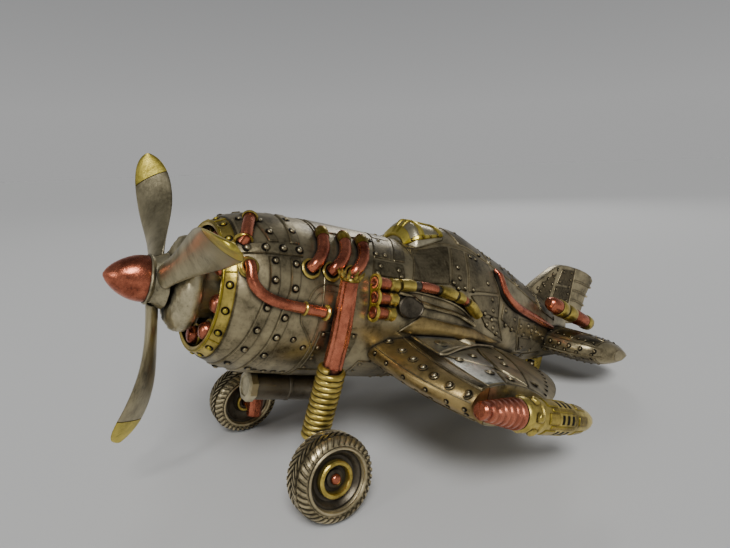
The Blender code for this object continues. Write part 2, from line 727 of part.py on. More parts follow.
def build_wing_pod(side, stance):
    """Ribbed copper barrel in front, tapering brass housing behind."""
    barrel_end = POD_LENGTH * POD_BARREL_FRACTION
    profile = [(0.0, 0.0), (0.0, POD_BARREL_RADIUS * 0.62)]
    rib = barrel_end / (BARREL_RIBS + 1)
    for number in range(BARREL_RIBS + 1):
        grown = mix(0.70, 1.0, number / BARREL_RIBS) * POD_BARREL_RADIUS
        x = rib * number
        profile += [(x + rib * 0.12, grown), (x + rib * 0.72, grown), (x + rib * 0.84, grown * 0.84)]
    profile += [(barrel_end, POD_BARREL_RADIUS * 0.8), (barrel_end, 0.0)]
    barrel = place_along(turned(profile, ROUND_SMALL), side, POD_FRONT, HALF_SPAN, POD_HEIGHT, POD_TILT)
    add_piece(f"{side}_pod_barrel", barrel, "copper", stance)
    front = barrel_end + CLEARANCE
    taper = arc((POD_LENGTH * 0.70, 0.0), (POD_LENGTH * 0.30, POD_RADIUS), math.radians(90.0),
                math.radians(14.0), 5)
    shell = [(front, 0.0), (front, POD_RADIUS * 0.86), (front + 1.0 * MM, POD_RADIUS)] + taper
    shell += [(POD_LENGTH, 0.0)]
    housing = place_along(turned(shell, ROUND_SMALL), side, POD_FRONT, HALF_SPAN, POD_HEIGHT, POD_TILT)
    add_piece(f"{side}_pod_housing", housing, "brass", stance)


def build_tailplane(side, stance, cutters):
    sections = []
    root = TAIL_END_HALF_WIDTH * 0.4
    for share in (0.0, 0.40, 0.66, 0.84, 0.94, 1.0):
        y = mix(root, TAILPLANE_HALF_SPAN, share)
        round_off = math.sqrt(max(1.0 - share ** 4, 0.0))
        middle = mix(TAILPLANE_FRONT, TAILPLANE_REAR, 0.56)
        front = mix(middle, TAILPLANE_FRONT, max(round_off, 0.30))
        rear = mix(middle, TAILPLANE_REAR, max(round_off, 0.30))
        thickness = TAILPLANE_THICKNESS * max(round_off, 0.35) ** 0.7
        loop = foil_loop(front, rear, -y, TAILPLANE_HEIGHT, TAILPLANE_HEIGHT, thickness, 0.0, 1.0, 6)
        sections.append(mirrored(loop, side))
    piece = add_piece(f"{side}_tailplane", lofted(sections), "bronze", stance)
    for cutter in cutters:
        add_boolean(piece, cutter, "DIFFERENCE")


def plate_sections(outline, thickness):
    """A flat upright plate: the outline in X and Z, its edges thinned."""
    sections = []
    for share, shrink in ((-1.0, 0.88), (-0.55, 1.0), (0.55, 1.0), (1.0, 0.88)):
        middle_x = sum(p[0] for p in outline) / len(outline)
        middle_z = sum(p[1] for p in outline) / len(outline)
        sections.append([Vector((mix(middle_x, x, shrink), share * 0.5 * thickness,
                                 mix(middle_z, z, shrink))) for x, z in outline])
    return sections


def build_fin(stance, skin_cutter):
    foot = spine_height(FIN_REAR) * 0.5
    outline = [(FIN_FRONT, foot), (FIN_FRONT, spine_height(FIN_FRONT) - 1.0 * MM),
               (mix(FIN_FRONT, FIN_TOP_FRONT, 0.5), FIN_HEIGHT * 0.72),
               (FIN_TOP_FRONT, FIN_HEIGHT * 0.98), (FIN_REAR, FIN_HEIGHT), (FIN_REAR, foot)]
    fin = add_piece("fin", lofted(plate_sections(outline, FIN_THICKNESS)), "bronze", stance)
    add_boolean(fin, skin_cutter, "DIFFERENCE")
    front = FIN_REAR + CLEARANCE
    rudder = [(front, RUDDER_FOOT), (front, FIN_HEIGHT),
              (mix(front, RUDDER_REAR, 0.55), FIN_HEIGHT * 0.97), (RUDDER_REAR, FIN_HEIGHT * 0.80),
              (mix(front, RUDDER_REAR, 0.85), FIN_HEIGHT * 0.45),
               (mix(front, RUDDER_REAR, 0.75), RUDDER_FOOT)]
    add_piece("rudder", lofted(plate_sections(rudder, FIN_THICKNESS * 0.8)), "bronze", stance)


def tail_pod_shape(side, grow):
    reach = TAIL_POD_LENGTH
    radius = TAIL_POD_RADIUS + grow
    profile = [(-grow, 0.0), (-grow, radius * 0.6), (reach * 0.06, radius), (reach * 0.55, radius),
               (reach * 0.60, radius * 0.8), (reach * 0.66, radius), (reach + grow, radius * 0.85),
               (reach + grow, 0.0)]
    return place_along(turned(profile, ROUND_SMALL), side, TAIL_POD_FRONT, TAIL_POD_SIDE,
                       TAIL_POD_HEIGHT, TAIL_POD_DROOP)


def build_tail_pod(side, stance, skin_cutter):
    pod = add_piece(f"{side}_tail_pod", tail_pod_shape(side, 0.0), "copper", stance)
    add_boolean(pod, skin_cutter, "DIFFERENCE")
    return add_cutter(f"{side}_tail_pod_cutter", tail_pod_shape(side, CLEARANCE), stance)


# =============================== pipework ===============================

def skin_path(places, offset, side, steps=4):
    """A smooth path over the skin through (x, angle) places, offset outside it."""
    return curve_points(mirrored([skin_point(x, angle, offset) for x, angle in places], side), steps)


def build_pipe(name, path, radius, material_name, stance):
    add_piece(name, swept(path, lambda share: radius, ROUND_PIPE), material_name, stance)


def build_exhaust_stubs(side, stance):
    offset = STUB_RADIUS + CLEARANCE
    for number, (top_x, foot_x) in enumerate(STUB_PLACES):
        middle = 0.5 * (STUB_TOP_ANGLE + STUB_FOOT_ANGLE)
        places = [(top_x, STUB_TOP_ANGLE), (mix(top_x, foot_x, 0.5), middle), (foot_x, STUB_FOOT_ANGLE)]
        path = skin_path(places, offset, side, 3)
        build_pipe(f"{side}_exhaust_stub_{number + 1}", path, STUB_RADIUS, "copper", stance)


def path_places(path):
    """(x, angle) places from a path given in millimetres and degrees."""
    return [(x * MM, math.radians(degrees)) for x, degrees in path]


def build_skin_pipes(side, stance):
    path = skin_path(path_places(INTAKE_PATH), INTAKE_RADIUS + CLEARANCE, side)
    build_pipe(f"{side}_intake_pipe", path, INTAKE_RADIUS, "copper", stance)
    start = (MANIFOLD_AT + MANIFOLD_PIPE_LENGTH + 2.0 * CLEARANCE, MANIFOLD_ANGLES[0])
    path = skin_path([start] + path_places(SIDE_PIPE_BENDS), SIDE_PIPE_RADIUS + CLEARANCE, side)
    build_pipe(f"{side}_side_pipe", path, SIDE_PIPE_RADIUS, "brass", stance)
    path = skin_path(path_places(TAIL_PIPE_PATH), TAIL_PIPE_RADIUS + 1.5 * CLEARANCE, side)
    build_pipe(f"{side}_tail_pipe", path, TAIL_PIPE_RADIUS, "copper", stance)


def build_breather(stance):
    """Short pipe over the cowling's shoulder, on the port side only."""
    path = skin_path(path_places(BREATHER_PATH), BREATHER_RADIUS + CLEARANCE, "port", 3)
    build_pipe("breather_pipe", path, BREATHER_RADIUS, "copper", stance)


def build_manifold(side, stance):
    """A scalloped plate against the skin with three short exhaust pipes leaving it aft."""
    offset = MANIFOLD_PIPE_RADIUS + CLEARANCE
    centres = mirrored([skin_point(MANIFOLD_AT, a, offset) for a in MANIFOLD_ANGLES], side)
    plate = swept(centres, lambda share: MANIFOLD_PIPE_RADIUS * 0.9, ROUND_PIPE)
    manifold = add_piece(f"{side}_exhaust_manifold", plate, "copper", stance)
    for number, centre in enumerate(centres):
        start = centre - Vector((MANIFOLD_PIPE_RADIUS * 0.5, 0.0, 0.0))
        end = centre + Vector((MANIFOLD_PIPE_LENGTH, 0.0, 0.0))
        pipe = swept([start, end], lambda share: MANIFOLD_PIPE_RADIUS, ROUND_PIPE + 2)
        add_boolean(manifold, add_cutter(f"{side}_manifold_pipe_{number + 1}", pipe, stance), "UNION")


def build_belly_tube(stance):
    centre = -(BARREL_RADIUS + BELLY_TUBE_RADIUS + CLEARANCE)
    front = BELLY_TUBE_FRONT
    rear = front + BELLY_TUBE_LENGTH
    profile = [(front, 0.0), (front, BELLY_TUBE_RADIUS), (rear - 2.0 * MM, BELLY_TUBE_RADIUS),
               (rear, BELLY_TUBE_RADIUS * 0.6), (rear, 0.0)]
    bm = turned(profile, ROUND_PIPE, math.pi / ROUND_PIPE)
    bmesh.ops.translate(bm, verts=bm.verts, vec=(0.0, 0.0, centre))
    add_piece("belly_tube", bm, "dark_bronze", stance)


# =============================== undercarriage ===============================

def leg_points():
    """Port leg: top against the barrel side, then the ends of the coil."""
    beside_barrel = BARREL_RADIUS + LEG_RADIUS * LEG_MIDDLE_SHARE + CLEARANCE
    side = beside_barrel / math.cos(LEG_LEAN)
    top_side = side + LEG_TOP * math.tan(LEG_LEAN)
    knee_side = side + COIL_TOP * math.tan(LEG_LEAN)
    run = (COIL_TOP - LEG_TOP) / (COIL_BOTTOM - LEG_TOP)
    knee_ahead = mix(LEG_TOP_AHEAD, COIL_FOOT_AHEAD, run)
    top = Vector((MAIN_AXLE_AT - LEG_TOP_AHEAD, -top_side, LEG_TOP))
    knee = Vector((MAIN_AXLE_AT - knee_ahead, -knee_side, COIL_TOP))
    bottom = Vector((MAIN_AXLE_AT - COIL_FOOT_AHEAD, COIL_FOOT_INSET - knee_side, COIL_BOTTOM))
    return top, knee, bottom


def half_track():
    """From the centre plane to a wheel's centre, so that the leaning tyre clears the coil."""
    knee, bottom = leg_points()[1:]
    shoulder = tyre_shoulder() - TYRE_EDGE_DROP
    shoulder_height = shoulder * math.cos(WHEEL_CAMBER) + TYRE_HALF_WIDTH * math.sin(WHEEL_CAMBER)
    share = (shoulder_height - MAIN_AXLE_DROP - knee.z) / (bottom.z - knee.z)
    coil_side = -mix(knee.y, bottom.y, min(max(share, 0.0), 1.0))
    coil_flat = COIL_RADIUS * math.cos(math.pi / ROUND_SMALL)
    tyre_side = TYRE_HALF_WIDTH * math.cos(WHEEL_CAMBER) + shoulder * math.sin(WHEEL_CAMBER)
    return coil_side + coil_flat + COIL_TYRE_GAP + tyre_side


def build_leg(side, stance):
    top, knee, bottom = mirrored(leg_points(), side)
    down = (bottom - knee).normalized()
    leg_end = knee - down * CLEARANCE
    path = [top, top.lerp(leg_end, 0.5), leg_end]
    leg = swept(path, lambda share: LEG_RADIUS * mix(LEG_TOP_SHARE, 1.0, share), ROUND_SMALL)
    add_piece(f"{side}_leg", leg, "copper", stance)
    turns = int((bottom - knee).length / COIL_WIRE)
    path = []
    radii = []
    for i in range(2 * turns + 1):
        path.append(knee.lerp(bottom, i / (2.0 * turns)))
        radii.append(COIL_RADIUS if i % 2 else COIL_RADIUS - 0.35 * COIL_WIRE)
    coil = swept(path, lambda share: radii[round(share * (len(radii) - 1))], ROUND_SMALL)
    add_piece(f"{side}_leg_coil", coil, "brass", stance)


def wheel_turn(side):
    """Turns the wheel's local X axis outboard, its outer end raised by the camber."""
    if side == "port":
        return Matrix.Rotation(math.radians(-90.0), 4, "Z") @ Matrix.Rotation(-WHEEL_CAMBER, 4, "Y")
    return Matrix.Rotation(math.radians(90.0), 4, "Z") @ Matrix.Rotation(-WHEEL_CAMBER, 4, "Y")


def main_axle_height():
    """Height of the wheel centre when the inner shoulder facet lies on the ground."""
    return WHEEL_RADIUS * math.cos(WHEEL_CAMBER) + TREAD_HALF_WIDTH * math.sin(WHEEL_CAMBER)


def tyre_shoulder():
    """Radius of the tyre's shoulder: its facet beside the tread lies flat on the ground."""
    return WHEEL_RADIUS - (SHOULDER_HALF_WIDTH - TREAD_HALF_WIDTH) * math.tan(WHEEL_CAMBER)


def tyre_profile():
    shoulder = tyre_shoulder()
    half = [(TREAD_HALF_WIDTH, WHEEL_RADIUS), (SHOULDER_HALF_WIDTH, shoulder),
            (TYRE_HALF_WIDTH, shoulder - TYRE_EDGE_DROP),
            (TYRE_HALF_WIDTH - 0.5 * MM, RIM_RADIUS + 0.7 * MM),
            (TYRE_HALF_WIDTH - BEAD_DEPTH, RIM_RADIUS)]
    profile = half + [(-x, r) for x, r in reversed(half)]
    grow = 1.0 / math.cos(math.pi / TYRE_FACETS)
    return [(x, r * grow) for x, r in profile]


def build_wheel(side, root, hub_place):
    axis = add_empty(f"{side}_wheel_axis", root, hub_place, wheel_turn(side))
    tyre = turned(tyre_profile(), TYRE_FACETS, math.pi / TYRE_FACETS)
    add_piece(f"{side}_tyre", tyre, "tyre_metal", axis)
    outer = TYRE_HALF_WIDTH - BEAD_DEPTH
    bore = AXLE_RADIUS + RUNNING_CLEARANCE
    face = outer - DISC_RECESS
    edge = RIM_RADIUS - CLEARANCE
    ring = HUB_RING_RADIUS
    disc = [(face, bore), (face, ring - 0.8 * MM), (outer + 0.6 * MM, ring - 0.4 * MM),
            (outer + 0.6 * MM, ring + 0.3 * MM), (face, ring + 0.7 * MM), (outer - 0.6 * MM, edge),
            (-outer, edge), (-face, ring), (-outer, bore + 1.6 * MM), (-outer, bore)]
    add_piece(f"{side}_wheel_disc", turned(disc, ROUND_MEDIUM), "dark_bronze", axis)
    foot = face + CLEARANCE
    head = foot + BOLT_HEIGHT
    flange = HUB_BOLT_RADIUS + 0.5 * MM
    bolt = [(foot, 0.0), (foot, flange), (foot + 0.8 * MM, flange), (foot + 1.0 * MM, HUB_BOLT_RADIUS),
            (head, HUB_BOLT_RADIUS * 0.8), (head, 0.0)]
    add_piece(f"{side}_axle_bolt", turned(bolt, ROUND_SMALL), "copper", axis)


def build_axle(side, stance, hub_in_flight, axle_out):
    """Knuckle under the coil and the stub axle that carries the wheel."""
    bottom = mirrored([leg_points()[2]], side)[0]
    inner_face = hub_in_flight - axle_out * (TYRE_HALF_WIDTH - BEAD_DEPTH + CLEARANCE + 0.2 * MM)
    top = bottom + Vector((0.0, 0.0, -3.0 * CLEARANCE))
    knuckle_foot = Vector((hub_in_flight.x, top.y, hub_in_flight.z - 2.4 * MM))
    knuckle = swept([top, knuckle_foot], lambda share: 2.6 * MM, ROUND_PIPE)
    axle = add_piece(f"{side}_axle", knuckle, "dark_bronze", stance)
    start = inner_face - axle_out * ((inner_face - knuckle_foot).dot(axle_out) - 0.6 * MM)
    end = hub_in_flight + axle_out * (TYRE_HALF_WIDTH - BEAD_DEPTH - DISC_RECESS)
    pin = swept([start, end], lambda share: AXLE_RADIUS, ROUND_PIPE * 2)
    add_boolean(axle, add_cutter(f"{side}_axle_pin", pin, stance), "UNION")


def stance_pitch():
    """Nose-up angle, and hub height, that put all three wheels on the ground."""
    run = TAIL_WHEEL_AT - MAIN_AXLE_AT
    drop = TAIL_WHEEL_DROP - MAIN_AXLE_DROP
    height_step = main_axle_height() - TAIL_WHEEL_RADIUS
    pitch = math.asin(height_step / math.hypot(run, drop)) - math.atan2(drop, run)
    hub_height = TAIL_WHEEL_RADIUS + TAIL_WHEEL_AT * math.sin(pitch) + TAIL_WHEEL_DROP * math.cos(pitch)
    return pitch, hub_height


def in_stance(point, pitch, hub_height):
    """A flight-frame point in the ground frame."""
    turned_point = Matrix.Rotation(pitch, 3, "Y") @ Vector(point)
    return turned_point + Vector((0.0, 0.0, hub_height))


def build_tail_wheel(stance):
    place = Vector((TAIL_WHEEL_AT, 0.0, -TAIL_WHEEL_DROP))
    axis = add_empty("tail_wheel_axis", stance, place, Matrix.Rotation(math.radians(-90.0), 4, "Z"))
    bore = TAIL_AXLE_RADIUS + RUNNING_CLEARANCE
    half = TAIL_WHEEL_HALF_WIDTH
    grow = 1.0 / math.cos(math.pi / ROUND_MEDIUM)
    profile = [(-half, bore), (-half, TAIL_WHEEL_RADIUS * 0.86), (-half * 0.6, TAIL_WHEEL_RADIUS * grow),
               (half * 0.6, TAIL_WHEEL_RADIUS * grow), (half, TAIL_WHEEL_RADIUS * 0.86), (half, bore)]
    pitch, _ = stance_pitch()
    tyre = turned(profile, ROUND_MEDIUM, math.pi / ROUND_MEDIUM + pitch)
    add_piece("tail_wheel", tyre, "tyre_metal", axis)


def box_loop(x_low, x_high, y_low, y_high, z):
    return [Vector((x_low, y_low, z)), Vector((x_high, y_low, z)), Vector((x_high, y_high, z)),
            Vector((x_low, y_high, z))]


def build_tail_fork(stance, skin_cutter):
    """Leg from the tail underside that splits into two arms round the tail wheel."""
    inner = TAIL_WHEEL_HALF_WIDTH + CLEARANCE
    outer = inner + FORK_ARM
    crown = -TAIL_WHEEL_DROP + TAIL_WHEEL_RADIUS + CLEARANCE * 2.0
    x = TAIL_WHEEL_AT
    half = 1.7 * MM
    leg = [box_loop(x - half, x + half, -outer, outer, 0.0),
           box_loop(x - half, x + half, -outer, outer, crown)]
    fork = add_piece("tail_fork", lofted(leg), "brass", stance)
    for number, sign in enumerate((-1.0, 1.0)):
        low, high = sorted((sign * inner, sign * outer))
        arm = [box_loop(x - half * 0.96, x + half * 0.96, low, high * 0.999, crown + 1.0 * MM),
               box_loop(x - half * 0.70, x + half * 0.70, low, high * 0.999, -TAIL_WHEEL_DROP - 1.0 * MM)]
        add_boolean(fork, add_cutter(f"fork_arm_{number + 1}", lofted(arm), stance), "UNION")
    reach = outer - 0.3 * MM
    pin = swept([Vector((x, -reach, -TAIL_WHEEL_DROP)), Vector((x, reach, -TAIL_WHEEL_DROP))],
                lambda share: TAIL_AXLE_RADIUS, ROUND_PIPE * 2)
    add_boolean(fork, add_cutter("tail_axle_pin", pin, stance), "UNION")
    add_boolean(fork, skin_cutter, "DIFFERENCE")


def build_undercarriage(root, stance, pitch, hub_height, skin_cutter):
    to_flight = Matrix.Rotation(-pitch, 3, "Y")
    for side in SIDES:
        build_leg(side, stance)
        hub = Vector((MAIN_AXLE_AT, SIDES[side] * half_track(), -MAIN_AXLE_DROP))
        build_wheel(side, root, in_stance(hub, pitch, hub_height))
        axle_out = to_flight @ (wheel_turn(side).to_3x3() @ Vector((1.0, 0.0, 0.0)))
        build_axle(side, stance, hub, axle_out)
    build_tail_fork(stance, skin_cutter)
    build_tail_wheel(stance)


# =============================== assembly ===============================

def centre_on_footprint(root):
    """Slide the whole model along X until its box is centred on the origin."""
    bpy.context.view_layer.update()
    graph = bpy.context.evaluated_depsgraph_get()
    low = math.inf
    high = -math.inf
    for piece in bpy.data.objects:
        if piece.type != "MESH" or piece.hide_render:
            continue
        evaluated = piece.evaluated_get(graph)
        for vertex in evaluated.data.vertices:
            x = (piece.matrix_world @ vertex.co).x
            low = min(low, x)
            high = max(high, x)
    root.location.x = -0.5 * (low + high)


def build_model():
    clear_scene()
    pitch, hub_height = stance_pitch()
    root = add_empty("footprint_centre")
    stance = add_empty("stance", root, (0.0, 0.0, hub_height), Matrix.Rotation(pitch, 4, "Y"))
    skin_cutter = add_skin_cutter(stance)
    build_propeller(stance)
    build_engine(stance)
    add_fuselage(stance)
    build_canopy(stance, skin_cutter)
    build_fin(stance, skin_cutter)
    for side in SIDES:
        build_wing(side, stance, skin_cutter)
        build_wing_pod(side, stance)
        pod_cutter = build_tail_pod(side, stance, skin_cutter)
        build_tailplane(side, stance, [skin_cutter, pod_cutter])
        build_exhaust_stubs(side, stance)
        build_skin_pipes(side, stance)
        build_manifold(side, stance)
    build_breather(stance)
    build_belly_tube(stance)
    build_undercarriage(root, stance, pitch, hub_height, skin_cutter)
    centre_on_footprint(root)


build_model()
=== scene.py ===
"""Looks of the steampunk model aeroplane: cast skins, plates, rivets, pipes and patinas.

Shapes are made in millimetres in the flight frame (origin at the propeller hub, +X aft
along the thrust line, +Y starboard, +Z up), which the propeller's joint gives, or in the
frame of a wheel's joint. Each piece then goes into the model's own frame in metres.
"""

import json
import math

import bmesh
import bpy
from mathutils import Matrix, Vector, noise


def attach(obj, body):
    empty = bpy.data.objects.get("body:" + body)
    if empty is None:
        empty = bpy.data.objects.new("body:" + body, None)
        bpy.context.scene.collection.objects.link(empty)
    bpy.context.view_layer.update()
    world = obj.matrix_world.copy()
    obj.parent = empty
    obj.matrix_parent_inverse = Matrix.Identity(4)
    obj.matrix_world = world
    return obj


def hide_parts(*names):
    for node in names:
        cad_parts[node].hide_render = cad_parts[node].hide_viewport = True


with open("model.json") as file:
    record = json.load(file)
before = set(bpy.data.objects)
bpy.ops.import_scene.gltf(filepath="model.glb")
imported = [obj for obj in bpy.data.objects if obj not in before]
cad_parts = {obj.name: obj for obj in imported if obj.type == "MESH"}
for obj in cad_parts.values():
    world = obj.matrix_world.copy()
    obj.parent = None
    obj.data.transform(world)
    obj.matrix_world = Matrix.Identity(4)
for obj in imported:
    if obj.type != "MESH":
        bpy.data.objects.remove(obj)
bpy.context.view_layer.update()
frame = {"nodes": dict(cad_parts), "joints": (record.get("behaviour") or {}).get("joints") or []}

MM = 0.001
JOINTS = {joint["name"]: joint for joint in frame["joints"]}
UP = Vector((0.0, 0.0, 1.0))
AFT = Vector((1.0, 0.0, 0.0))
FORWARD = Vector((-1.0, 0.0, 0.0))

# ---- Sizes in millimetres, as in the solid model ----
LIP_FRONT = 11.3
LIP_REAR = 14.5
LIP_FRONT_RADIUS = 18.3
LIP_REAR_RADIUS = 19.8
BARREL_RADIUS = 24.0
BARREL_REAR = 74.0
COWL_ROUNDING = 3.0
COWL_REAR = 38.0
TAIL_END = 182.0
TAIL_HALF_WIDTH = 3.6
SPINE_CREST_AT = 104.0
SPINE_CREST_RISE = 8.5
TAIL_TOP = 6.6
TAIL_DEPTH = 13.0

PROP_RADIUS = 51.6
BLADE_COUNT = 3
FIRST_BLADE_ANGLE = math.radians(-46.3)
BLADE_ROOT_PITCH = math.radians(14.0)
BLADE_TIP_PITCH = math.radians(66.5)
BLADE_CHORD = 11.3
BLADE_NECK = 0.58
BLADE_WIDEST_AT = 0.66
BLADE_FULLNESS = 2.7
BLADE_SWEEP = 3.3
BLADE_RAKE = 2.3
BLADE_TIP_AT = 0.80              # where the yellow tip starts, as a share of the blade
BLADE_TIP_SLANT = 0.035
HUB_RADIUS = 7.6
SPINNER_RADIUS = 6.3
SPINNER_LENGTH = 11.2
SPINNER_REAR = -2.3

HALF_SPAN = 60.0
WING_ROOT = (58.5, 144.0)
WING_TIP = (70.0, 104.0)
WING_THICKNESS = (21.0, 16.0)
WING_HEIGHT = -9.5
WING_WASH = -4.5
WING_TIP_DROP = 7.0
WING_INNER = 10.8
WING_OUTER = 54.75
BAND_EDGE = math.sqrt(0.17)      # chord parameter where the leading band ends

TAILPLANE = (158.0, 194.0)
TAILPLANE_HALF_SPAN = 33.8
TAILPLANE_THICKNESS = 15.5
TAILPLANE_HEIGHT = -4.5

WHEEL_RADIUS = 12.0
TYRE_HALF_WIDTH = 4.7
RIM_RADIUS = 8.3

SKIN_PLATE = 0.35                # how far a riveted plate stands above the skin
PLATE_RIM = -0.15                # where a plate's bevel meets the skin, just under it
PLATE_FOOT = -0.5                # how deep a plate is rooted
FLUTE_DEPTH = 0.05               # of a fluted bar, as a share of its radius
BEAD = 0.28                      # radius of a raised seam
AROUND_SKIN = 96                 # points round the fuselage
RIVET = 0.75                     # radius of an ordinary rivet

# ---- Profiles: (share of the radius, share of the height), and (share of the radius, height) ----
DOME_PROFILE = ((1.0, -0.35), (1.0, 0.25), (0.90, 0.62), (0.66, 0.88), (0.34, 0.98), (0.05, 1.0))
SEAT_PROFILE = ((1.55, -0.4), (1.55, 0.03), (1.3, 0.10), (0.1, 0.10))
SEAT_SIDES = 14

CYLINDERS = 9
CYLINDER_FRONT = 12.9
CYLINDER_RING = 14.3             # radius on which the cylinder domes stand
HEAD_RADIUS = 2.6
LIP_RIVETS = 18
TYRE_LUGS = 36
FAIRING_RISE = 4.2               # behind the canopy
FAIRING_LENGTH = 27.0
STUB_PLACES = ((38.5, 34.0), (46.0, 40.5), (52.5, 47.5))   # x of each stub's top and foot
SIDE_PIPE_RADII = {"copper": 1.65, "brass": 2.0, "dark": 1.5}
SIDE_PIPE_PARTS = (              # from and to, as shares of the pipe's length
    (0.0, 0.14, "brass"), (0.14, 0.18, "dark"), (0.18, 0.34, "copper"), (0.34, 0.38, "dark"),
    (0.38, 0.52, "brass"), (0.52, 0.56, "dark"), (0.56, 0.66, "brass"), (0.66, 0.72, "copper"),
    (0.72, 0.76, "dark"), (0.76, 1.0, "brass"),
)
POD_RADIUS = 4.75                # of the wing-tip pod's housing
POD_TAPER_AT = 32.0
POD_TAPER = 18.5
POD_SECTORS = range(0, 360, 60)  # degrees at which the housing's relief repeats
BELLY_TUBE_HEIGHT = -28.95
FIN_FACE = 1.75                  # half the fin's thickness, where its plates lie
TREAD_FLAT = 0.45                # the tyre's parameter where its flat tread ends
TREAD_BEND = 0.8                 # and how much further its shoulder runs
TREAD_EDGE = 1.25
TREAD_HALF_FLAT = 2.0
TREAD_RADIUS = WHEEL_RADIUS - 0.62

# ---- Places on the fuselage: x along it, degrees from its top ----
COWL_BANDS = (
    (((19.5, 8), (21.6, 28), (23.8, 46.5)), ((21.6, 25), (23, 38))),
    (((29.8, 8), (30, 28), (29.8, 46.5)), ((30.2, 20), (29.9, 35))),
    (((23.2, 57.5), (23.4, 78), (22, 93), (20.4, 118), (18.6, 145), (18, 176)),
     ((23.4, 61), (23.4, 74), (22.2, 92), (21.2, 108), (20.2, 125), (18.8, 146), (18.2, 165))),
    (((29.2, 57.5), (29.1, 78), (27.6, 94), (26.4, 118), (24.6, 145), (24, 176)),
     ((29.1, 62), (29, 78), (27.4, 97), (26.8, 111), (25.8, 127), (24.6, 146), (24.2, 165))),
)
COWL_STRAP = ((14, 47.5), (32, 47.5), (31.6, 56.5), (14, 56.5))
BREATHER_PLATE = ((14.8, 16), (19, 16), (17.6, 45), (14.8, 45))
COWL_SEAMS = (                   # bead radius, and the places it runs through
    (0.3, ((32, 91), (32.6, 99), (36, 109), (43, 133))),
    (0.3, ((33.5, 84), (35.5, 76), (39.5, 72), (43.5, 73))),
    (0.22, ((34.8, 86), (36.6, 79.5), (39.8, 76.5), (43, 77))),
    (0.3, ((41, 98), (46, 103), (51, 100))),
)
SKIN_PLATES = (
    ((39, 3), (62.6, 3), (59.6, 27), (39, 27)),
    ((63.4, 3), (71.2, 3), (68, 20), (61, 20)),
    ((60.4, 21), (67.6, 21), (63.8, 45.5), (56.8, 45.5)),
    ((71.9, 4), (74.2, 14), (69.2, 45.5), (64.6, 45.5)),
    ((56.4, 47.6), (68.2, 47.6), (67.6, 61), (54.8, 61)),
    ((76, 26), (90.6, 33), (87.2, 62), (70.6, 60)),
    ((91.6, 34), (98, 36), (96, 68), (88.4, 63)),
    ((94, 5), (112, 5), (112.4, 36), (97, 30)),
    ((99, 37), (112.4, 38), (115.6, 64), (97.2, 68)),
    ((98, 70), (115.4, 66), (116, 84), (104, 80)),
    ((113.4, 5), (130, 5), (131, 44), (113.6, 36)),
    ((131, 5), (148, 5), (149, 56), (132, 46)),
    ((119.6, 70), (131, 78), (131, 96), (118.4, 84)),
    ((132, 80), (144, 82), (146, 104), (132.6, 98)),
    ((145.2, 84), (158, 88), (162, 118), (147.2, 106)),
    ((134, 101), (146, 106), (152, 128), (139, 122)),
    ((104.6, 82.6), (116.2, 86), (122, 104), (110, 92)),
    ((149.6, 8), (166, 10), (166, 70), (150.6, 60)),
    ((163, 94), (180, 96), (180, 140), (166, 122)),
    ((39, 104), (52, 104), (52, 140), (39, 140)),
    ((39, 142), (56, 142), (56, 176), (39, 176)),
    ((57, 128), (73.4, 128), (73.4, 176), (57, 176)),
    ((75, 130), (98, 130), (98, 176), (75, 176)),
    ((99, 130), (122, 130), (122, 176), (99, 176)),
    ((123, 122), (144, 128), (144, 176), (123, 176)),
    ((145, 130), (162, 132), (162, 176), (145, 176)),
)
SKIN_RIVETS = (
    (58.6, 25), (62.6, 24), (58.2, 42), (61.6, 42), (58.4, 53), (56.8, 59), (65.5, 54), (66, 59),
    (66, 7), (69, 7), (92.5, 50), (92.6, 58), (91.6, 65), (95.2, 65), (89.4, 61), (109, 58),
    (111.5, 70), (112.2, 78), (107.2, 81), (112, 85), (109.4, 89), (113.6, 91.4), (117, 97),
    (122, 88), (127, 92), (133.4, 88), (139.5, 87), (143, 92), (147.5, 94), (137, 98),
    (144, 101), (152, 98), (156, 104), (140, 118), (149, 124), (121, 76), (128, 82),
    (100, 12), (108, 32), (101, 40), (118, 22), (124, 30), (99.6, 66), (104, 40.5),
)
SKIN_RIVET_ROWS = (
    ((114.8, 10), (115.2, 33), 4), ((129, 12), (129.6, 38), 4), ((132.6, 10), (133.6, 42), 5),
    ((146.6, 10), (147.4, 50), 5), ((151.4, 12), (152, 56), 5), ((164.6, 14), (164.6, 64), 5),
    ((165, 98), (178.4, 99), 4), ((40.4, 106), (40.4, 138), 4), ((50.6, 106), (50.6, 138), 4),
    ((58.6, 132), (58.6, 172), 5), ((71.8, 132), (71.8, 172), 5), ((76.6, 134), (76.6, 172), 5),
    ((100.6, 134), (100.6, 172), 5), ((124.6, 130), (124.6, 172), 5), ((146.6, 136), (146.6, 172), 4),
)
SKIN_SEAMS = (
    ((113, 44), (116.6, 62), (116.4, 80), (118.4, 91), (123, 106)),
    ((102.5, 81.5), (109, 84.5), (116, 87)),
    ((75, 24), (84, 26), (92, 31), (104, 36), (113, 40)),
    ((130, 79), (131.6, 96), (138, 122)),
    ((87.6, 44), (88, 62)),
)

# ---- Places on the wing: share of the span, and chord parameter q as in foil ----
WING_WASHERS = (
    (0.16, 0.255), (0.287, 0.25), (0.43, 0.248), (0.55, 0.235), (0.65, 0.213), (0.745, 0.19), (0.855, 0.165),
    (0.96, 0.16),
)
NOSE_RIVETS = ((0.30, 0.03), (0.425, 0.0), (0.575, -0.06), (0.738, -0.07), (0.863, -0.11), (0.96, -0.12))
PLATE_WASHERS = (
    (0.662, 0.488), (0.60, 0.60), (0.85, 0.575), (0.93, 0.68), (0.90, 0.86), (0.68, 0.735), (0.55, 0.75),
)


# =============================== small helpers ===============================

def mix(first, second, share):
    return first + (second - first) * share


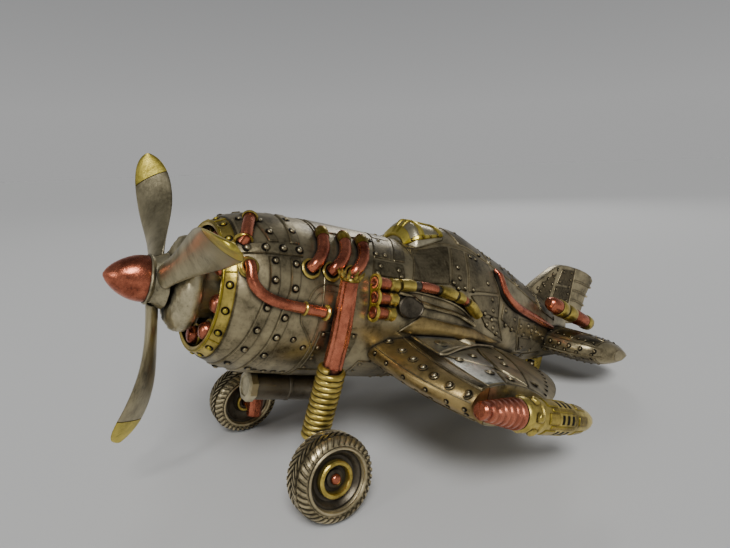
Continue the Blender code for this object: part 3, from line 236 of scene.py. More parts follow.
def smooth_step(value):
    value = min(max(value, 0.0), 1.0)
    return value * value * (3.0 - 2.0 * value)


def spread(start, end, count):
    """count evenly spaced values from start to end."""
    return [mix(start, end, i / (count - 1)) for i in range(count)]


def frame_matrix(origin, x_axis, up):
    """Millimetres in a local frame into metres in the model's frame."""
    x = Vector(x_axis).normalized()
    y = Vector(up).cross(x).normalized()
    z = x.cross(y)
    matrix = Matrix((x, y, z)).transposed().to_4x4()
    matrix.translation = Vector(origin)
    return matrix @ Matrix.Scale(MM, 4)


def joint_matrix(name):
    joint = JOINTS[name]
    return frame_matrix(joint["pos_m"], joint["axis"], UP)


FLIGHT = joint_matrix("propeller_spin")


def smooth_curve(knots, steps):
    """Points on a Catmull-Rom curve through the knots."""
    knots = [Vector(knot) for knot in knots]
    ends = [knots[0] * 2.0 - knots[1]] + knots + [knots[-1] * 2.0 - knots[-2]]
    points = []
    for k in range(1, len(ends) - 2):
        p0, p1, p2, p3 = ends[k - 1:k + 3]
        for i in range(steps):
            t = i / steps
            points.append(0.5 * ((2.0 * p1) + (p2 - p0) * t
                                 + (2.0 * p0 - 5.0 * p1 + 4.0 * p2 - p3) * t * t
                                 + (3.0 * p1 - p0 - 3.0 * p2 + p3) * t * t * t))
    points.append(knots[-1])
    return points


def along(surface, knots):
    """A strip of a surface: u across it, v from 0 to 1 along a curve through (u, v) knots."""
    curve = smooth_curve([Vector((u, v, 0.0)) for u, v in knots], 8)

    def place(u, v, lift):
        at = min(v, 0.9999) * (len(curve) - 1)
        knot = curve[int(at)].lerp(curve[int(at) + 1], at - int(at))
        return surface(knot.x + u, knot.y, lift)
    return place


def basis(direction):
    """Two unit vectors square to a direction."""
    side = direction.orthogonal().normalized()
    return side, direction.cross(side).normalized()


def circle(count):
    """The angles of count even steps round a circle."""
    return [2.0 * math.pi * k / count for k in range(count)]


def radial(side, up, angle):
    return side * math.cos(angle) + up * math.sin(angle)


def polar(x, radius, angle):
    """A point round the X axis; the angle runs from +Z towards port."""
    return Vector((x, -radius * math.sin(angle), radius * math.cos(angle)))


def on_side(places, side):
    """Places on the fuselage taken to port (side is 1) or starboard (side is -1)."""
    return [(x, side * degrees) for x, degrees in places]


# =============================== shapes ===============================

class Shape:
    """Closed shells, collected in millimetres before they become one piece."""

    def __init__(self):
        self.points = []
        self.faces = []
        self.rims = set()        # faces on the bevelled rims of plates
        self.seats = []          # (point, normal, radius) of every rivet

    def add(self, other, flip=False):
        """Take in another shape, reflected across the centre plane if flip is set."""
        start = len(self.points)
        side = -1.0 if flip else 1.0
        self.rims.update(len(self.faces) + k for k in other.rims)
        self.points.extend(Vector((p.x, side * p.y, p.z)) for p in other.points)
        for face in other.faces:
            self.faces.append(tuple(start + k for k in (reversed(face) if flip else face)))
        for point, normal, radius in other.seats:
            self.seats.append((Vector((point.x, side * point.y, point.z)),
                               Vector((normal.x, side * normal.y, normal.z)), radius))

    def loft(self, rows, loop=False):
        """Rows of points joined into a skin; the ends close with caps, or with each other."""
        start = len(self.points)
        width = len(rows[0])
        for row in rows:
            self.points.extend(Vector(point) for point in row)
        total = len(rows)
        for r in range(total if loop else total - 1):
            low = start + r * width
            high = start + ((r + 1) % total) * width
            for c in range(width):
                d = (c + 1) % width
                self.faces.append((low + c, low + d, high + d, high + c))
        if not loop:
            last = start + (total - 1) * width
            self.faces.append(tuple(start + c for c in reversed(range(width))))
            self.faces.append(tuple(last + c for c in range(width)))

    def turned(self, profile, segments, place=None, loop=False):
        """(x, radius) points turned round the X axis of the frame called place."""
        place = place or Matrix.Identity(4)
        rows = []
        for x, radius in profile:
            rows.append([place @ polar(x, radius, angle) for angle in circle(segments)])
        self.loft(rows, loop)

    def tube(self, path, radius, sides=12, loop=False, lobes=0):
        """A round bar along a path. radius is a number, or a function of the path's share.
        lobes is the number of shallow flutes along it."""
        path = [Vector(point) for point in path]
        count = len(path)
        rows = []
        side = None
        for i, point in enumerate(path):
            if loop:
                ahead = path[(i + 1) % count] - path[i - 1]
            else:
                ahead = path[min(i + 1, count - 1)] - path[max(i - 1, 0)]
            ahead.normalize()
            if side is None:
                side = ahead.orthogonal().normalized()
            side = (side - ahead * side.dot(ahead)).normalized()
            up = ahead.cross(side)
            size = radius(i / (count - 1)) if callable(radius) else radius
            row = []
            for angle in circle(sides):
                out = size * (1.0 + FLUTE_DEPTH * math.cos(lobes * angle)) if lobes else size
                row.append(point + radial(side, up, angle) * out)
            rows.append(row)
        self.loft(rows, loop)

    def hoop(self, centre, direction, radius, wire, segments=24, sides=8):
        """A round wire ring about a direction."""
        side, up = basis(Vector(direction).normalized())
        path = [centre + radial(side, up, angle) * radius for angle in circle(segments)]
        self.tube(path, wire, sides, loop=True)

    def axis_hoop(self, x, radius, wire, segments):
        """A round wire ring about the X axis."""
        self.hoop(Vector((x, 0.0, 0.0)), AFT, radius, wire, segments)

    def dome(self, point, normal, radius, height=0.5, segments=10):
        """A rivet head or a boss: flat flank, round crown. height is a share of the radius."""
        normal = Vector(normal).normalized()
        side, up = basis(normal)
        rows = []
        for out, rise in DOME_PROFILE:
            lift = normal * (rise * radius * height)
            rows.append([point + radial(side, up, angle) * (radius * out) + lift
                         for angle in circle(segments)])
        self.loft(rows)

    def stud(self, surface, u, v, radius=RIVET, height=0.6, lift=0.0):
        """A rivet on a surface, with a seat."""
        point = surface(u, v, lift)
        normal = surface(u, v, lift + 1.0) - point
        self.dome(point, normal, radius, height)
        self.seats.append((point, normal, radius))

    def studs(self, surface, start, end, count, radius=RIVET, height=0.6, lift=0.0):
        """Evenly spaced rivets along a line on a surface."""
        for share in spread(0.0, 1.0, count):
            u = mix(start[0], end[0], share)
            v = mix(start[1], end[1], share)
            self.stud(surface, u, v, radius, height, lift)

    def rivet_shade_discs(self):
        """Near-black discs round the foot of every rivet: painted shade where the rivet's shadow falls."""
        discs = Shape()
        for point, normal, radius in self.seats:
            normal = normal.normalized()
            side, up = basis(normal)
            rows = []
            for out, lift in SEAT_PROFILE:
                rows.append([point + radial(side, up, angle) * (radius * out) + normal * lift
                             for angle in circle(SEAT_SIDES)])
            discs.loft(rows)
        return discs

    def seam(self, surface, places, radius=BEAD, lift=0.0, steps=8):
        """A raised bead that follows a surface through (u, v) places."""
        knots = smooth_curve([Vector((u, v, 0.0)) for u, v in places], steps)
        self.tube([surface(k.x, k.y, lift) for k in knots], radius, 6)

    def slab(self, surface, corners, height=SKIN_PLATE, bevel=0.3, cells=(8, 8), rise=None):
        """A closed plate lying on a surface between four (u, v) corners, its rim bevelled.
        rise gives a further height from the two shares across the plate."""
        def corner_mix(a, b):
            low = Vector(corners[0]).lerp(Vector(corners[1]), a)
            high = Vector(corners[3]).lerp(Vector(corners[2]), a)
            return low.lerp(high, b)
        lengths = []
        for ends in (((0.0, 0.5), (1.0, 0.5)), ((0.5, 0.0), (0.5, 1.0))):
            first = corner_mix(*ends[0])
            last = corner_mix(*ends[1])
            lengths.append(max((surface(*first, 0.0) - surface(*last, 0.0)).length, 4.0 * bevel))
        edges = [min(bevel / length, 0.25) for length in lengths]
        shares = []
        for count, edge in zip(cells, edges):
            shares.append([0.0] + spread(edge, 1.0 - edge, count) + [1.0])
        top = []
        bottom = []
        for i, b in enumerate(shares[1]):
            top_row = []
            bottom_row = []
            for j, a in enumerate(shares[0]):
                u, v = corner_mix(a, b)
                rim = i in (0, len(shares[1]) - 1) or j in (0, len(shares[0]) - 1)
                lift = PLATE_RIM if rim else height + (rise(a, b) if rise else 0.0)
                top_row.append(surface(u, v, lift))
                bottom_row.append(surface(u, v, PLATE_FOOT))
            top.append(top_row)
            bottom.append(bottom_row)
        self.slab_faces(top, bottom)

    def slab_faces(self, top, bottom):
        """Join a plate's top and bottom grids, and note the faces of its rim."""
        start = len(self.points)
        rows = len(top)
        width = len(top[0])
        for grid in (top, bottom):
            for row in grid:
                self.points.extend(row)
        under = start + rows * width
        for i in range(rows - 1):
            for j in range(width - 1):
                a = i * width + j
                quad = (a, a + 1, a + width + 1, a + width)
                if i in (0, rows - 2) or j in (0, width - 2):
                    self.rims.add(len(self.faces))
                self.faces.append(tuple(start + k for k in quad))
                self.faces.append(tuple(under + k for k in reversed(quad)))
        border = list(range(width))
        border += [i * width + width - 1 for i in range(1, rows)]
        border += [(rows - 1) * width + j for j in range(width - 2, -1, -1)]
        border += [i * width for i in range(rows - 2, 0, -1)]
        for k, corner in enumerate(border):
            after = border[(k + 1) % len(border)]
            self.faces.append((start + after, start + corner, under + corner, under + after))

    def roughen(self, depth, size):
        """Push the points in and out a little, as on a rough casting."""
        self.points = [p + noise.noise_vector(p / size) * depth for p in self.points]


def make(name, shape, material, body="airframe", slot=None, replaces=(), place=FLIGHT, smooth=38.0):
    """Turn a shape into a piece that rides on a body."""
    mesh = bpy.data.meshes.new(name)
    mesh.from_pydata([place @ point for point in shape.points], [], shape.faces)
    mesh.materials.append(MATERIALS[material])
    # plate rims take the brighter finish: a painted highlight, with their edge wear
    if material in RIM_HIGHLIGHT_METAL and shape.rims:
        mesh.materials.append(MATERIALS[RIM_HIGHLIGHT_METAL[material]])
        for face in shape.rims:
            mesh.polygons[face].material_index = 1
    bm = bmesh.new()
    bm.from_mesh(mesh)
    bmesh.ops.recalc_face_normals(bm, faces=bm.faces)
    bm.to_mesh(mesh)
    bm.free()
    mesh.shade_smooth()
    mesh.set_sharp_from_angle(angle=math.radians(smooth))
    piece = bpy.data.objects.new(name, mesh)
    bpy.context.scene.collection.objects.link(piece)
    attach(piece, body)
    if replaces:
        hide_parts(*replaces)
    if shape.seats:
        # near-black discs of painted shade round each rivet's foot
        make(f"{name}_seats", shape.rivet_shade_discs(), "painted_shadow", body, place=place)


def make_sides(name, shape, material, replaces=(), **options):
    """A port piece from the shape, and its mirror image to starboard."""
    far = Shape()
    far.add(shape, flip=True)
    for side, half in (("port", shape), ("starboard", far)):
        nodes = [f"{side}_{node}" for node in replaces]
        make(f"{side}_{name}", half, material, replaces=nodes, **options)


# =============================== materials ===============================

MATERIALS = {}

# the brighter finish on the bevelled rims of plates: a painted highlight where the rims catch light, with
# their edge wear
RIM_HIGHLIGHT_METAL = {
    "bronze": "bronze_rivet", "silver": "bronze_rivet", "brown_brass": "bronze_rivet", "brass": "yellow",
}

# name: base, colour of the painted shade in recesses and of stains, colour of rubbed edges and painted edge
# highlights, roughness, strength of the painted shade and stains, grain stretch
FINISHES = {
    "bronze": ((0.098, 0.076, 0.040), (0.008, 0.006, 0.004), (0.56, 0.47, 0.28), 0.33, 1.0, (1, 1, 1)),
    # a lighter copy of bronze for rivets, beads and plate rims: their worn metal, and a painted highlight on
    # the raised parts
    "bronze_rivet": ((0.26, 0.21, 0.115), (0.010, 0.007, 0.004), (0.80, 0.68, 0.42), 0.30, 0.9, (1, 1, 1)),
    # silver: pale grey worn plates on the wing's top, partly a painted sheen where light falls on that face
    "silver": ((0.21, 0.205, 0.165), (0.012, 0.010, 0.008), (0.70, 0.69, 0.60), 0.28, 1.0, (1, 1, 1)),
    # near-black painted shadow: round rivet feet, inside the pod's slots and under the tail pipe
    "painted_shadow": ((0.014, 0.011, 0.008), (0.006, 0.005, 0.004), (0.06, 0.05, 0.035), 0.5, 0.8, (1, 1, 1)),
    "pewter": ((0.22, 0.185, 0.105), (0.014, 0.010, 0.005), (0.74, 0.65, 0.42), 0.36, 1.0, (1, 1, 1)),
    "blade": ((0.20, 0.165, 0.092), (0.026, 0.020, 0.010), (0.60, 0.52, 0.32), 0.32, 0.8, (1, 1, 0.25)),
    "yellow": ((0.44, 0.33, 0.026), (0.07, 0.048, 0.008), (0.88, 0.72, 0.16), 0.36, 0.8, (1, 1, 1)),
    "brass": ((0.29, 0.195, 0.024), (0.014, 0.009, 0.003), (0.90, 0.70, 0.18), 0.28, 1.0, (1, 1, 1)),
    "copper": ((0.235, 0.034, 0.016), (0.018, 0.004, 0.003), (0.80, 0.27, 0.15), 0.24, 1.0, (1, 1, 1)),
    "brown_brass": ((0.135, 0.088, 0.030), (0.010, 0.006, 0.003), (0.58, 0.42, 0.17), 0.34, 1.0, (1, 1, 1)),
    "dark": ((0.035, 0.029, 0.022), (0.008, 0.006, 0.004), (0.20, 0.17, 0.12), 0.40, 0.8, (1, 1, 1)),
    "pane": ((0.32, 0.28, 0.17), (0.06, 0.048, 0.026), (0.78, 0.70, 0.48), 0.30, 0.7, (1, 1, 1)),
    "tyre": ((0.30, 0.235, 0.120), (0.008, 0.006, 0.003), (0.80, 0.68, 0.42), 0.33, 1.0, (1, 1, 1)),
}
SHADE_REACH = 1.7 * MM            # how wide a recess the painted shade fills
FINE_REACH = 0.5 * MM            # how wide an edge is painted bright, as rub and highlight


def grey(value):
    return (value, value, value, 1)


BLACK = grey(0)
WHITE = grey(1)


def link_ramp(tree, source, low, high, first=BLACK, last=WHITE):
    """A ramp from the first colour at low to the last at high."""
    ramp = tree.nodes.new("ShaderNodeValToRGB")
    ramp.color_ramp.elements[0].position = low
    ramp.color_ramp.elements[0].color = first
    ramp.color_ramp.elements[1].position = high
    ramp.color_ramp.elements[1].color = last
    tree.links.new(source, ramp.inputs[0])
    return ramp.outputs[0]


def link_mix(tree, factor, first, second):
    """Mix two colours; each is a socket or a plain colour."""
    node = tree.nodes.new("ShaderNodeMix")
    node.data_type = "RGBA"
    for socket, value in ((node.inputs[0], factor), (node.inputs[6], first), (node.inputs[7], second)):
        if isinstance(value, bpy.types.NodeSocket):
            tree.links.new(value, socket)
        elif isinstance(value, tuple):
            socket.default_value = (*value, 1.0)
        else:
            socket.default_value = value
    return node.outputs[2]


def link_noise(tree, vector, scale, detail, roughness=0.6):
    node = tree.nodes.new("ShaderNodeTexNoise")
    node.inputs["Scale"].default_value = scale
    node.inputs["Detail"].default_value = detail
    node.inputs["Roughness"].default_value = roughness
    tree.links.new(vector, node.inputs["Vector"])
    return node.outputs["Fac"]


def link_math(tree, operation, first, second):
    node = tree.nodes.new("ShaderNodeMath")
    node.operation = operation
    node.use_clamp = True
    for socket, value in ((node.inputs[0], first), (node.inputs[1], second)):
        if isinstance(value, bpy.types.NodeSocket):
            tree.links.new(value, socket)
        else:
            socket.default_value = value
    return node.outputs[0]


def link_occlusion(tree, reach, inside):
    node = tree.nodes.new("ShaderNodeAmbientOcclusion")
    node.samples = 6
    node.inside = inside
    node.inputs["Distance"].default_value = reach
    return node.outputs["AO"]


def aged_metal(name):
    """Cast metal with painted shade: recesses found by ambient occlusion go dark (standing also for an
    antique wash), stains darken it at random, and its edges are painted bright, partly as rub and partly as
    highlight.
    """
    base, shade_and_stain_colour, bright, roughness, shade_and_stain_strength, stretch = FINISHES[name]
    material = bpy.data.materials.new(name)
    material.use_nodes = True
    tree = material.node_tree
    shader = tree.nodes["Principled BSDF"]
    coords = tree.nodes.new("ShaderNodeTexCoord")
    mapping = tree.nodes.new("ShaderNodeMapping")
    mapping.inputs["Scale"].default_value = stretch
    tree.links.new(coords.outputs["Object"], mapping.inputs["Vector"])
    vector = mapping.outputs["Vector"]
    mottle = link_noise(tree, vector, 130.0, 6.0)
    grain = link_noise(tree, vector, 1100.0, 4.0, 0.7)
    pits = link_noise(tree, vector, 2600.0, 2.0)
    scratch_map = tree.nodes.new("ShaderNodeMapping")
    scratch_map.inputs["Scale"].default_value = (1.0, 0.12, 0.12)
    scratch_map.inputs["Rotation"].default_value = (0.4, 0.7, 0.3)
    tree.links.new(coords.outputs["Object"], scratch_map.inputs["Vector"])
    scratches = link_noise(tree, scratch_map.outputs["Vector"], 2200.0, 3.0, 0.65)

    darker = tuple(c * 0.50 for c in base)
    lighter = tuple(min(c * 1.35, 1.0) for c in base)
    tone = link_mix(tree, link_ramp(tree, mottle, 0.34, 0.66), darker, lighter)
    dust = link_ramp(tree, grain, 0.50, 0.72)
    tone = link_mix(tree, link_math(tree, "MULTIPLY", dust, 0.22), tone, bright)
    fine_lines = link_ramp(tree, scratches, 0.60, 0.70)
    tone = link_mix(tree, link_math(tree, "MULTIPLY", fine_lines, 0.25), tone, bright)

    # painted highlight: edges found by ambient occlusion are brightened, partly as rubbed wear
    crest = link_ramp(tree, link_occlusion(tree, FINE_REACH, True), 0.30, 0.75)
    rubbed_and_highlit = link_math(tree, "MULTIPLY", crest, link_ramp(tree, mottle, 0.25, 0.6))
    tone = link_mix(tree, link_math(tree, "MULTIPLY", rubbed_and_highlit, 0.8), tone, bright)

    # painted shade: recesses found by ambient occlusion go dark, standing also for the antique wash; random
    # stains add to it
    open_sky = link_occlusion(tree, SHADE_REACH, False)
    painted_shade = link_ramp(tree, open_sky, 0.45, 0.97, WHITE, BLACK)
    speckle = link_ramp(tree, grain, 0.30, 0.46, WHITE, BLACK)
    patches = link_ramp(tree, mottle, 0.35, 0.60, grey(0.75), grey(0.12))
    stain = link_math(tree, "MULTIPLY", speckle, patches)
    stain_and_shade = link_math(tree, "MAXIMUM", painted_shade, stain)
    stain_and_shade = link_math(tree, "MULTIPLY", stain_and_shade, shade_and_stain_strength)
    colour = link_mix(tree, stain_and_shade, tone, shade_and_stain_colour)
    tree.links.new(colour, shader.inputs["Base Color"])

    shine = link_math(tree, "ADD", link_math(tree, "MULTIPLY", grain, 0.30), roughness - 0.14)
    shine = link_math(tree, "ADD", shine, link_math(tree, "MULTIPLY", stain_and_shade, 0.25))
    tree.links.new(shine, shader.inputs["Roughness"])
    metallic = link_ramp(tree, stain_and_shade, 0.2, 1.0, grey(0.95), grey(0.35))
    tree.links.new(metallic, shader.inputs["Metallic"])

    coarse = link_math(tree, "MULTIPLY", grain, 0.6)
    height = link_math(tree, "ADD", coarse, link_math(tree, "MULTIPLY", pits, 0.3))
    bump = tree.nodes.new("ShaderNodeBump")
    bump.inputs["Strength"].default_value = 0.45
    bump.inputs["Distance"].default_value = 0.16 * MM
    tree.links.new(height, bump.inputs["Height"])
    tree.links.new(bump.outputs["Normal"], shader.inputs["Normal"])
    return material


def make_materials():
    for name in FINISHES:
        MATERIALS[name] = aged_metal(name)


# =============================== fuselage surface ===============================

def cowl_radius(x):
    run = BARREL_REAR * 0.5 - LIP_FRONT
    share = min(max((BARREL_REAR * 0.5 - x) / run, 0.0), 1.0)
    return BARREL_RADIUS - (BARREL_RADIUS - LIP_FRONT_RADIUS - 0.35) * share ** COWL_ROUNDING


def tail_share(x):
    return min(max((x - BARREL_REAR) / (TAIL_END - BARREL_REAR), 0.0), 1.0)


def skin_sizes(x):
    """Half width, height above the thrust line, depth below it, and the fairing's rise."""
    if x <= BARREL_REAR:
        return (cowl_radius(x),) * 3 + (0.0,)
    share = tail_share(x)
    width = mix(BARREL_RADIUS, TAIL_HALF_WIDTH, share ** 1.35 * (1.0 - 0.12 * math.sin(math.pi * share)))
    depth = mix(BARREL_RADIUS, TAIL_DEPTH, share ** 1.15)
    crest = smooth_step((x - BARREL_REAR) / (SPINE_CREST_AT - BARREL_REAR))
    fall = smooth_step((x - SPINE_CREST_AT) / (TAIL_END - SPINE_CREST_AT))
    height = mix(BARREL_RADIUS, TAIL_TOP, share ** 1.25) + SPINE_CREST_RISE * (crest - fall)
    grown = smooth_step((x - CANOPY[0]) / (CANOPY[1] - CANOPY[0]))
    gone = min(max((x - CANOPY[1]) / FAIRING_LENGTH, 0.0), 1.0)
    return width, height, depth, FAIRING_RISE * grown * (1.0 - gone) ** 1.6


def skin(x, degrees, lift):
    """A point on the fuselage: x along it, degrees from the top towards port."""
    width, height, depth, fairing = skin_sizes(x)
    across = math.sin(math.radians(degrees))
    up = math.cos(math.radians(degrees))
    rise = height + fairing * up ** 3 if up > 0.0 else depth
    return Vector((x, -(width + lift) * across, (rise + lift) * up))


# =============================== propeller ===============================

def blade_chord(share):
    if share < BLADE_WIDEST_AT:
        neck_end = HUB_RADIUS / PROP_RADIUS
        grown = smooth_step((share - neck_end) / (BLADE_WIDEST_AT - neck_end))
        return BLADE_CHORD * mix(BLADE_NECK, 1.0, grown)
    bend = (share - BLADE_WIDEST_AT) / (1.0 - BLADE_WIDEST_AT)
    return BLADE_CHORD * math.sqrt(max(1.0 - bend ** BLADE_FULLNESS, 0.0))


def blade_point(share, angle):
    """A point on the first blade, standing along +Z: a lens section with a soft middle ridge."""
    radius = mix(HUB_RADIUS - 1.2, PROP_RADIUS, share)
    pitch = mix(BLADE_ROOT_PITCH, BLADE_TIP_PITCH, share)
    chord = max(blade_chord(radius / PROP_RADIUS), 0.5)
    thickness = min(mix(3.4, 1.5, share), chord * 0.8)
    along = Vector((math.sin(pitch), -math.cos(pitch), 0.0))
    across = Vector((math.cos(pitch), math.sin(pitch), 0.0))
    bow = math.sin(math.pi * share)
    centre = Vector((BLADE_RAKE * bow, BLADE_SWEEP * bow, radius))
    lens = math.copysign(abs(math.sin(angle)) ** 1.25, math.sin(angle))
    return centre + along * (0.5 * chord * math.cos(angle)) + across * (0.5 * thickness * lens)


def build_propeller():
    spinner = Shape()
    nose = []
    for share in spread(0.01, 1.0, 18):
        radius = SPINNER_RADIUS * (1.0 - (1.0 - share) ** 2) ** 0.70
        nose.append((SPINNER_REAR - 0.9 - (SPINNER_LENGTH - 0.9) * (1.0 - share), radius))
    spinner.turned(nose + [(SPINNER_REAR - 0.5, SPINNER_RADIUS * 0.97)], 48)
    spinner.roughen(0.10, 4.0)
    make("spinner_cone", spinner, "copper", "propeller", replaces=("spinner",))
    collar = Shape()
    collar.turned([(SPINNER_REAR - 0.7, 3.0), (SPINNER_REAR - 0.7, SPINNER_RADIUS + 0.2),
                   (SPINNER_REAR - 0.35, SPINNER_RADIUS + 0.55), (SPINNER_REAR + 0.1, SPINNER_RADIUS + 0.25),
                   (SPINNER_REAR + 0.5, SPINNER_RADIUS - 0.1), (SPINNER_REAR + 1.4, SPINNER_RADIUS + 0.1),
                   (SPINNER_REAR + 3.2, HUB_RADIUS - 0.2), (SPINNER_REAR + 4.0, HUB_RADIUS + 0.1),
                   (SPINNER_REAR + 4.3, HUB_RADIUS - 0.4), (SPINNER_REAR + 4.3, 3.0)], 48, loop=True)
    collar.turned([(SPINNER_REAR + 1.0, 0.1), (SPINNER_REAR + 1.0, 3.4), (10.0, 2.0), (10.0, 0.1)], 16)
    collar.roughen(0.16, 1.6)
    make("hub_collar", collar, "pewter", "propeller", replaces=("propeller_hub",))
    for number in range(BLADE_COUNT):
        turn = Matrix.Rotation(FIRST_BLADE_ANGLE + 2.0 * math.pi * number / BLADE_COUNT, 4, "X")
        blade = Shape()
        tip = Shape()
        for shape, start, end, count in ((blade, 0.0, -0.003, 30), (tip, 0.003, 1.0, 16)):
            rows = []
            for s in spread(0.0, 1.0, count):
                row = []
                for angle in circle(28):
                    cut = BLADE_TIP_AT + BLADE_TIP_SLANT * math.cos(angle)
                    low, high = (0.0, cut + end) if shape is blade else (cut + start, 0.999)
                    eased = s if shape is blade else 1.0 - (1.0 - s) ** 1.8
                    row.append(turn @ blade_point(mix(low, high, eased), angle))
                rows.append(row)
            shape.loft(rows)
        name = f"blade_{number + 1}"
        make(f"{name}_paddle", blade, "blade", "propeller", replaces=(f"propeller_{name}",))
        make(f"{name}_tip", tip, "yellow", "propeller")


# =============================== engine and cowling ===============================

def build_engine():
    case = Shape()
    profile = [(2.4, 2.2)]
    for share in spread(0.14, 1.0, 16):
        angle = share * math.pi * 0.5
        profile.append((6.2 - 3.85 * math.cos(angle), 13.4 * math.sin(angle) ** 0.85))
    profile += [(8.0, 13.3), (8.9, 12.6), (9.3, 9.2), (15.0, 8.8), (15.0, 2.2)]
    case.turned(profile, 64)
    case.roughen(0.42, 1.3)
    make("gear_case_casting", case, "pewter", replaces=("gear_case",), smooth=60.0)

    heads = Shape()
    rims = Shape()
    # the engine well is painted dark: painted shade inside the cowling, behind the cylinders
    well = Shape()
    well.turned([(16.2, 0.1), (16.2, 19.0), (17.5, 20.0), (37.8, 20.0), (37.8, 0.1)], 48)
    half_step = 180.0 / CYLINDERS
    for number in range(CYLINDERS):
        angle = math.radians(half_step + 2.0 * half_step * number)
        centre = polar(CYLINDER_FRONT, CYLINDER_RING, angle)
        heads.dome(centre, FORWARD, HEAD_RADIUS, 0.95, 20)
        rims.hoop(centre + AFT * 0.3, FORWARD, 2.95, 0.5)
        rims.hoop(centre + AFT * 1.7, FORWARD, 3.0, 0.6)
        well.tube([centre, centre + AFT * 3.6], 2.8, 20)
        between = angle + math.radians(half_step)
        well.tube([polar(14.4, 10.0, between), polar(14.4, 18.0, between)], 0.7, 8)
    heads.roughen(0.12, 1.5)
    make("cylinder_domes", heads, "copper", replaces=("cylinder_heads",))
    make("cylinder_rims", rims, "brass")
    make("engine_well", well, "dark", replaces=("crankcase",))


def build_cowling():
    skin_base = Shape()
    outer = []
    for share in spread(0.0, 1.0, 26):
        x = mix(LIP_REAR - 0.2, COWL_REAR, share ** 1.4)
        outer.append((x, cowl_radius(x)))
    inner = [(x, r - 1.6) for x, r in reversed(outer)]
    skin_base.turned(outer + inner, AROUND_SKIN, loop=True)
    make("cowling_skin", skin_base, "bronze", replaces=("cowling",))

    lip = Shape()
    lip.turned([(LIP_FRONT, LIP_FRONT_RADIUS - 1.1), (LIP_FRONT - 0.3, LIP_FRONT_RADIUS - 0.4),
                (LIP_FRONT + 0.1, LIP_FRONT_RADIUS + 0.2), (LIP_REAR, LIP_REAR_RADIUS + 0.3),
                (LIP_REAR + 0.3, LIP_REAR_RADIUS), (LIP_REAR, LIP_REAR_RADIUS - 1.1)], AROUND_SKIN, loop=True)
    light = Shape()
    for x, radius in ((LIP_FRONT + 0.1, LIP_FRONT_RADIUS + 0.1), (LIP_REAR + 0.1, LIP_REAR_RADIUS + 0.25)):
        light.axis_hoop(x, radius, 0.32, AROUND_SKIN)

    def lip_face(u, v, lift):
        radius = mix(LIP_FRONT_RADIUS + 0.2, LIP_REAR_RADIUS + 0.3, u) + lift * 0.85
        x = mix(LIP_FRONT, LIP_REAR, u) - lift * 0.5
        return polar(x, radius, math.radians(v))

    for number in range(LIP_RIVETS):
        angle = 360.0 * number / LIP_RIVETS
        light.stud(lip_face, 0.5, angle, 0.72, 0.75)
        if number % 3 == 0:
            light.seam(lip_face, [(0.02, angle + 10.0), (0.98, angle + 10.0)], 0.2)
    make("cowling_lip_ring", lip, "brass", replaces=("cowling_lip",))
    make("cowling_lip_trim", light, "yellow")

    straps = Shape()
    rivets = Shape()
    beads = Shape()
    for side in (1.0, -1.0):
        for knots, places in COWL_BANDS:
            band = along(skin, on_side(knots, side))
            straps.slab(band, [(-1.5, 0.0), (1.5, 0.0), (1.5, 1.0), (-1.5, 1.0)], 0.42, 0.35, (5, 40))
            for x, degrees in on_side(places, side):
                rivets.stud(skin, x, degrees, 0.72, 0.75, 0.42)
        straps.slab(skin, on_side(COWL_STRAP, side), 0.62, 0.4, (20, 5))
        rivets.studs(skin, (16.4, side * 52.0), (30.4, side * 52.0), 4, 0.82, 0.75, 0.62)
        beads.seam(skin, on_side([(21.4, 47.6), (21.0, 56.4)], side), 0.2, 0.6)
        straps.slab(skin, on_side(BREATHER_PLATE, side), 0.45, 0.35, (5, 12))
        rivets.studs(skin, (16.6, side * 20.0), (16.4, side * 38.0), 2, 0.72, 0.75, 0.45)
        for radius, knots in COWL_SEAMS:
            beads.seam(skin, on_side(knots, side), radius)
        rivets.studs(skin, (32.0, side * 112.0), (40.0, side * 124.0), 3, 0.62, 0.75)
        rivets.studs(skin, (27.0, side * 150.0), (36.0, side * 150.0), 4, 0.62, 0.75)
    beads.axis_hoop(COWL_REAR, BARREL_RADIUS + 0.02, 0.24, AROUND_SKIN)
    make("cowling_straps", straps, "bronze")
    make("cowling_rivets", rivets, "bronze_rivet")
    make("cowling_beads", beads, "bronze_rivet")


# =============================== fuselage ===============================

def skin_section(x):
    step = 360.0 / AROUND_SKIN
    return [skin(x, step * i, 0.0) for i in range(AROUND_SKIN)]


def build_fuselage():
    front = Shape()
    front.loft([skin_section(x) for x in spread(COWL_REAR + 0.1, BARREL_REAR, 10)])
    make("fuselage_front_skin", front, "bronze", replaces=("fuselage_front",))
    rear = Shape()
    rear.loft([skin_section(x) for x in spread(BARREL_REAR + 0.05, TAIL_END, 64)])
    make("fuselage_rear_skin", rear, "bronze", replaces=("fuselage_rear",))

    plates = Shape()
    rivets = Shape()
    beads = Shape()
    for side in (1.0, -1.0):
        for corners in SKIN_PLATES:
            plates.slab(skin, on_side(corners, side), cells=(10, 10))
        for x, degrees in on_side(SKIN_RIVETS, side):
            rivets.stud(skin, x, degrees, 0.68, 0.75, 0.2)
        for start, end, count in SKIN_RIVET_ROWS:
            rivets.studs(skin, *on_side((start, end), side), count, 0.55, 0.75, 0.2)
        for knots in SKIN_SEAMS:
            beads.seam(skin, on_side(knots, side), 0.3)
    beads.axis_hoop(BARREL_REAR + 0.1, BARREL_RADIUS, 0.22, AROUND_SKIN)
    make("fuselage_plates", plates, "bronze")
    make("fuselage_rivets", rivets, "bronze_rivet")
    make("fuselage_beads", beads, "bronze_rivet")


# =============================== canopy ===============================

CANOPY = (75.0, 91.0)
CANOPY_HALF_WIDTH = 10.5
CANOPY_CREST = 31.8


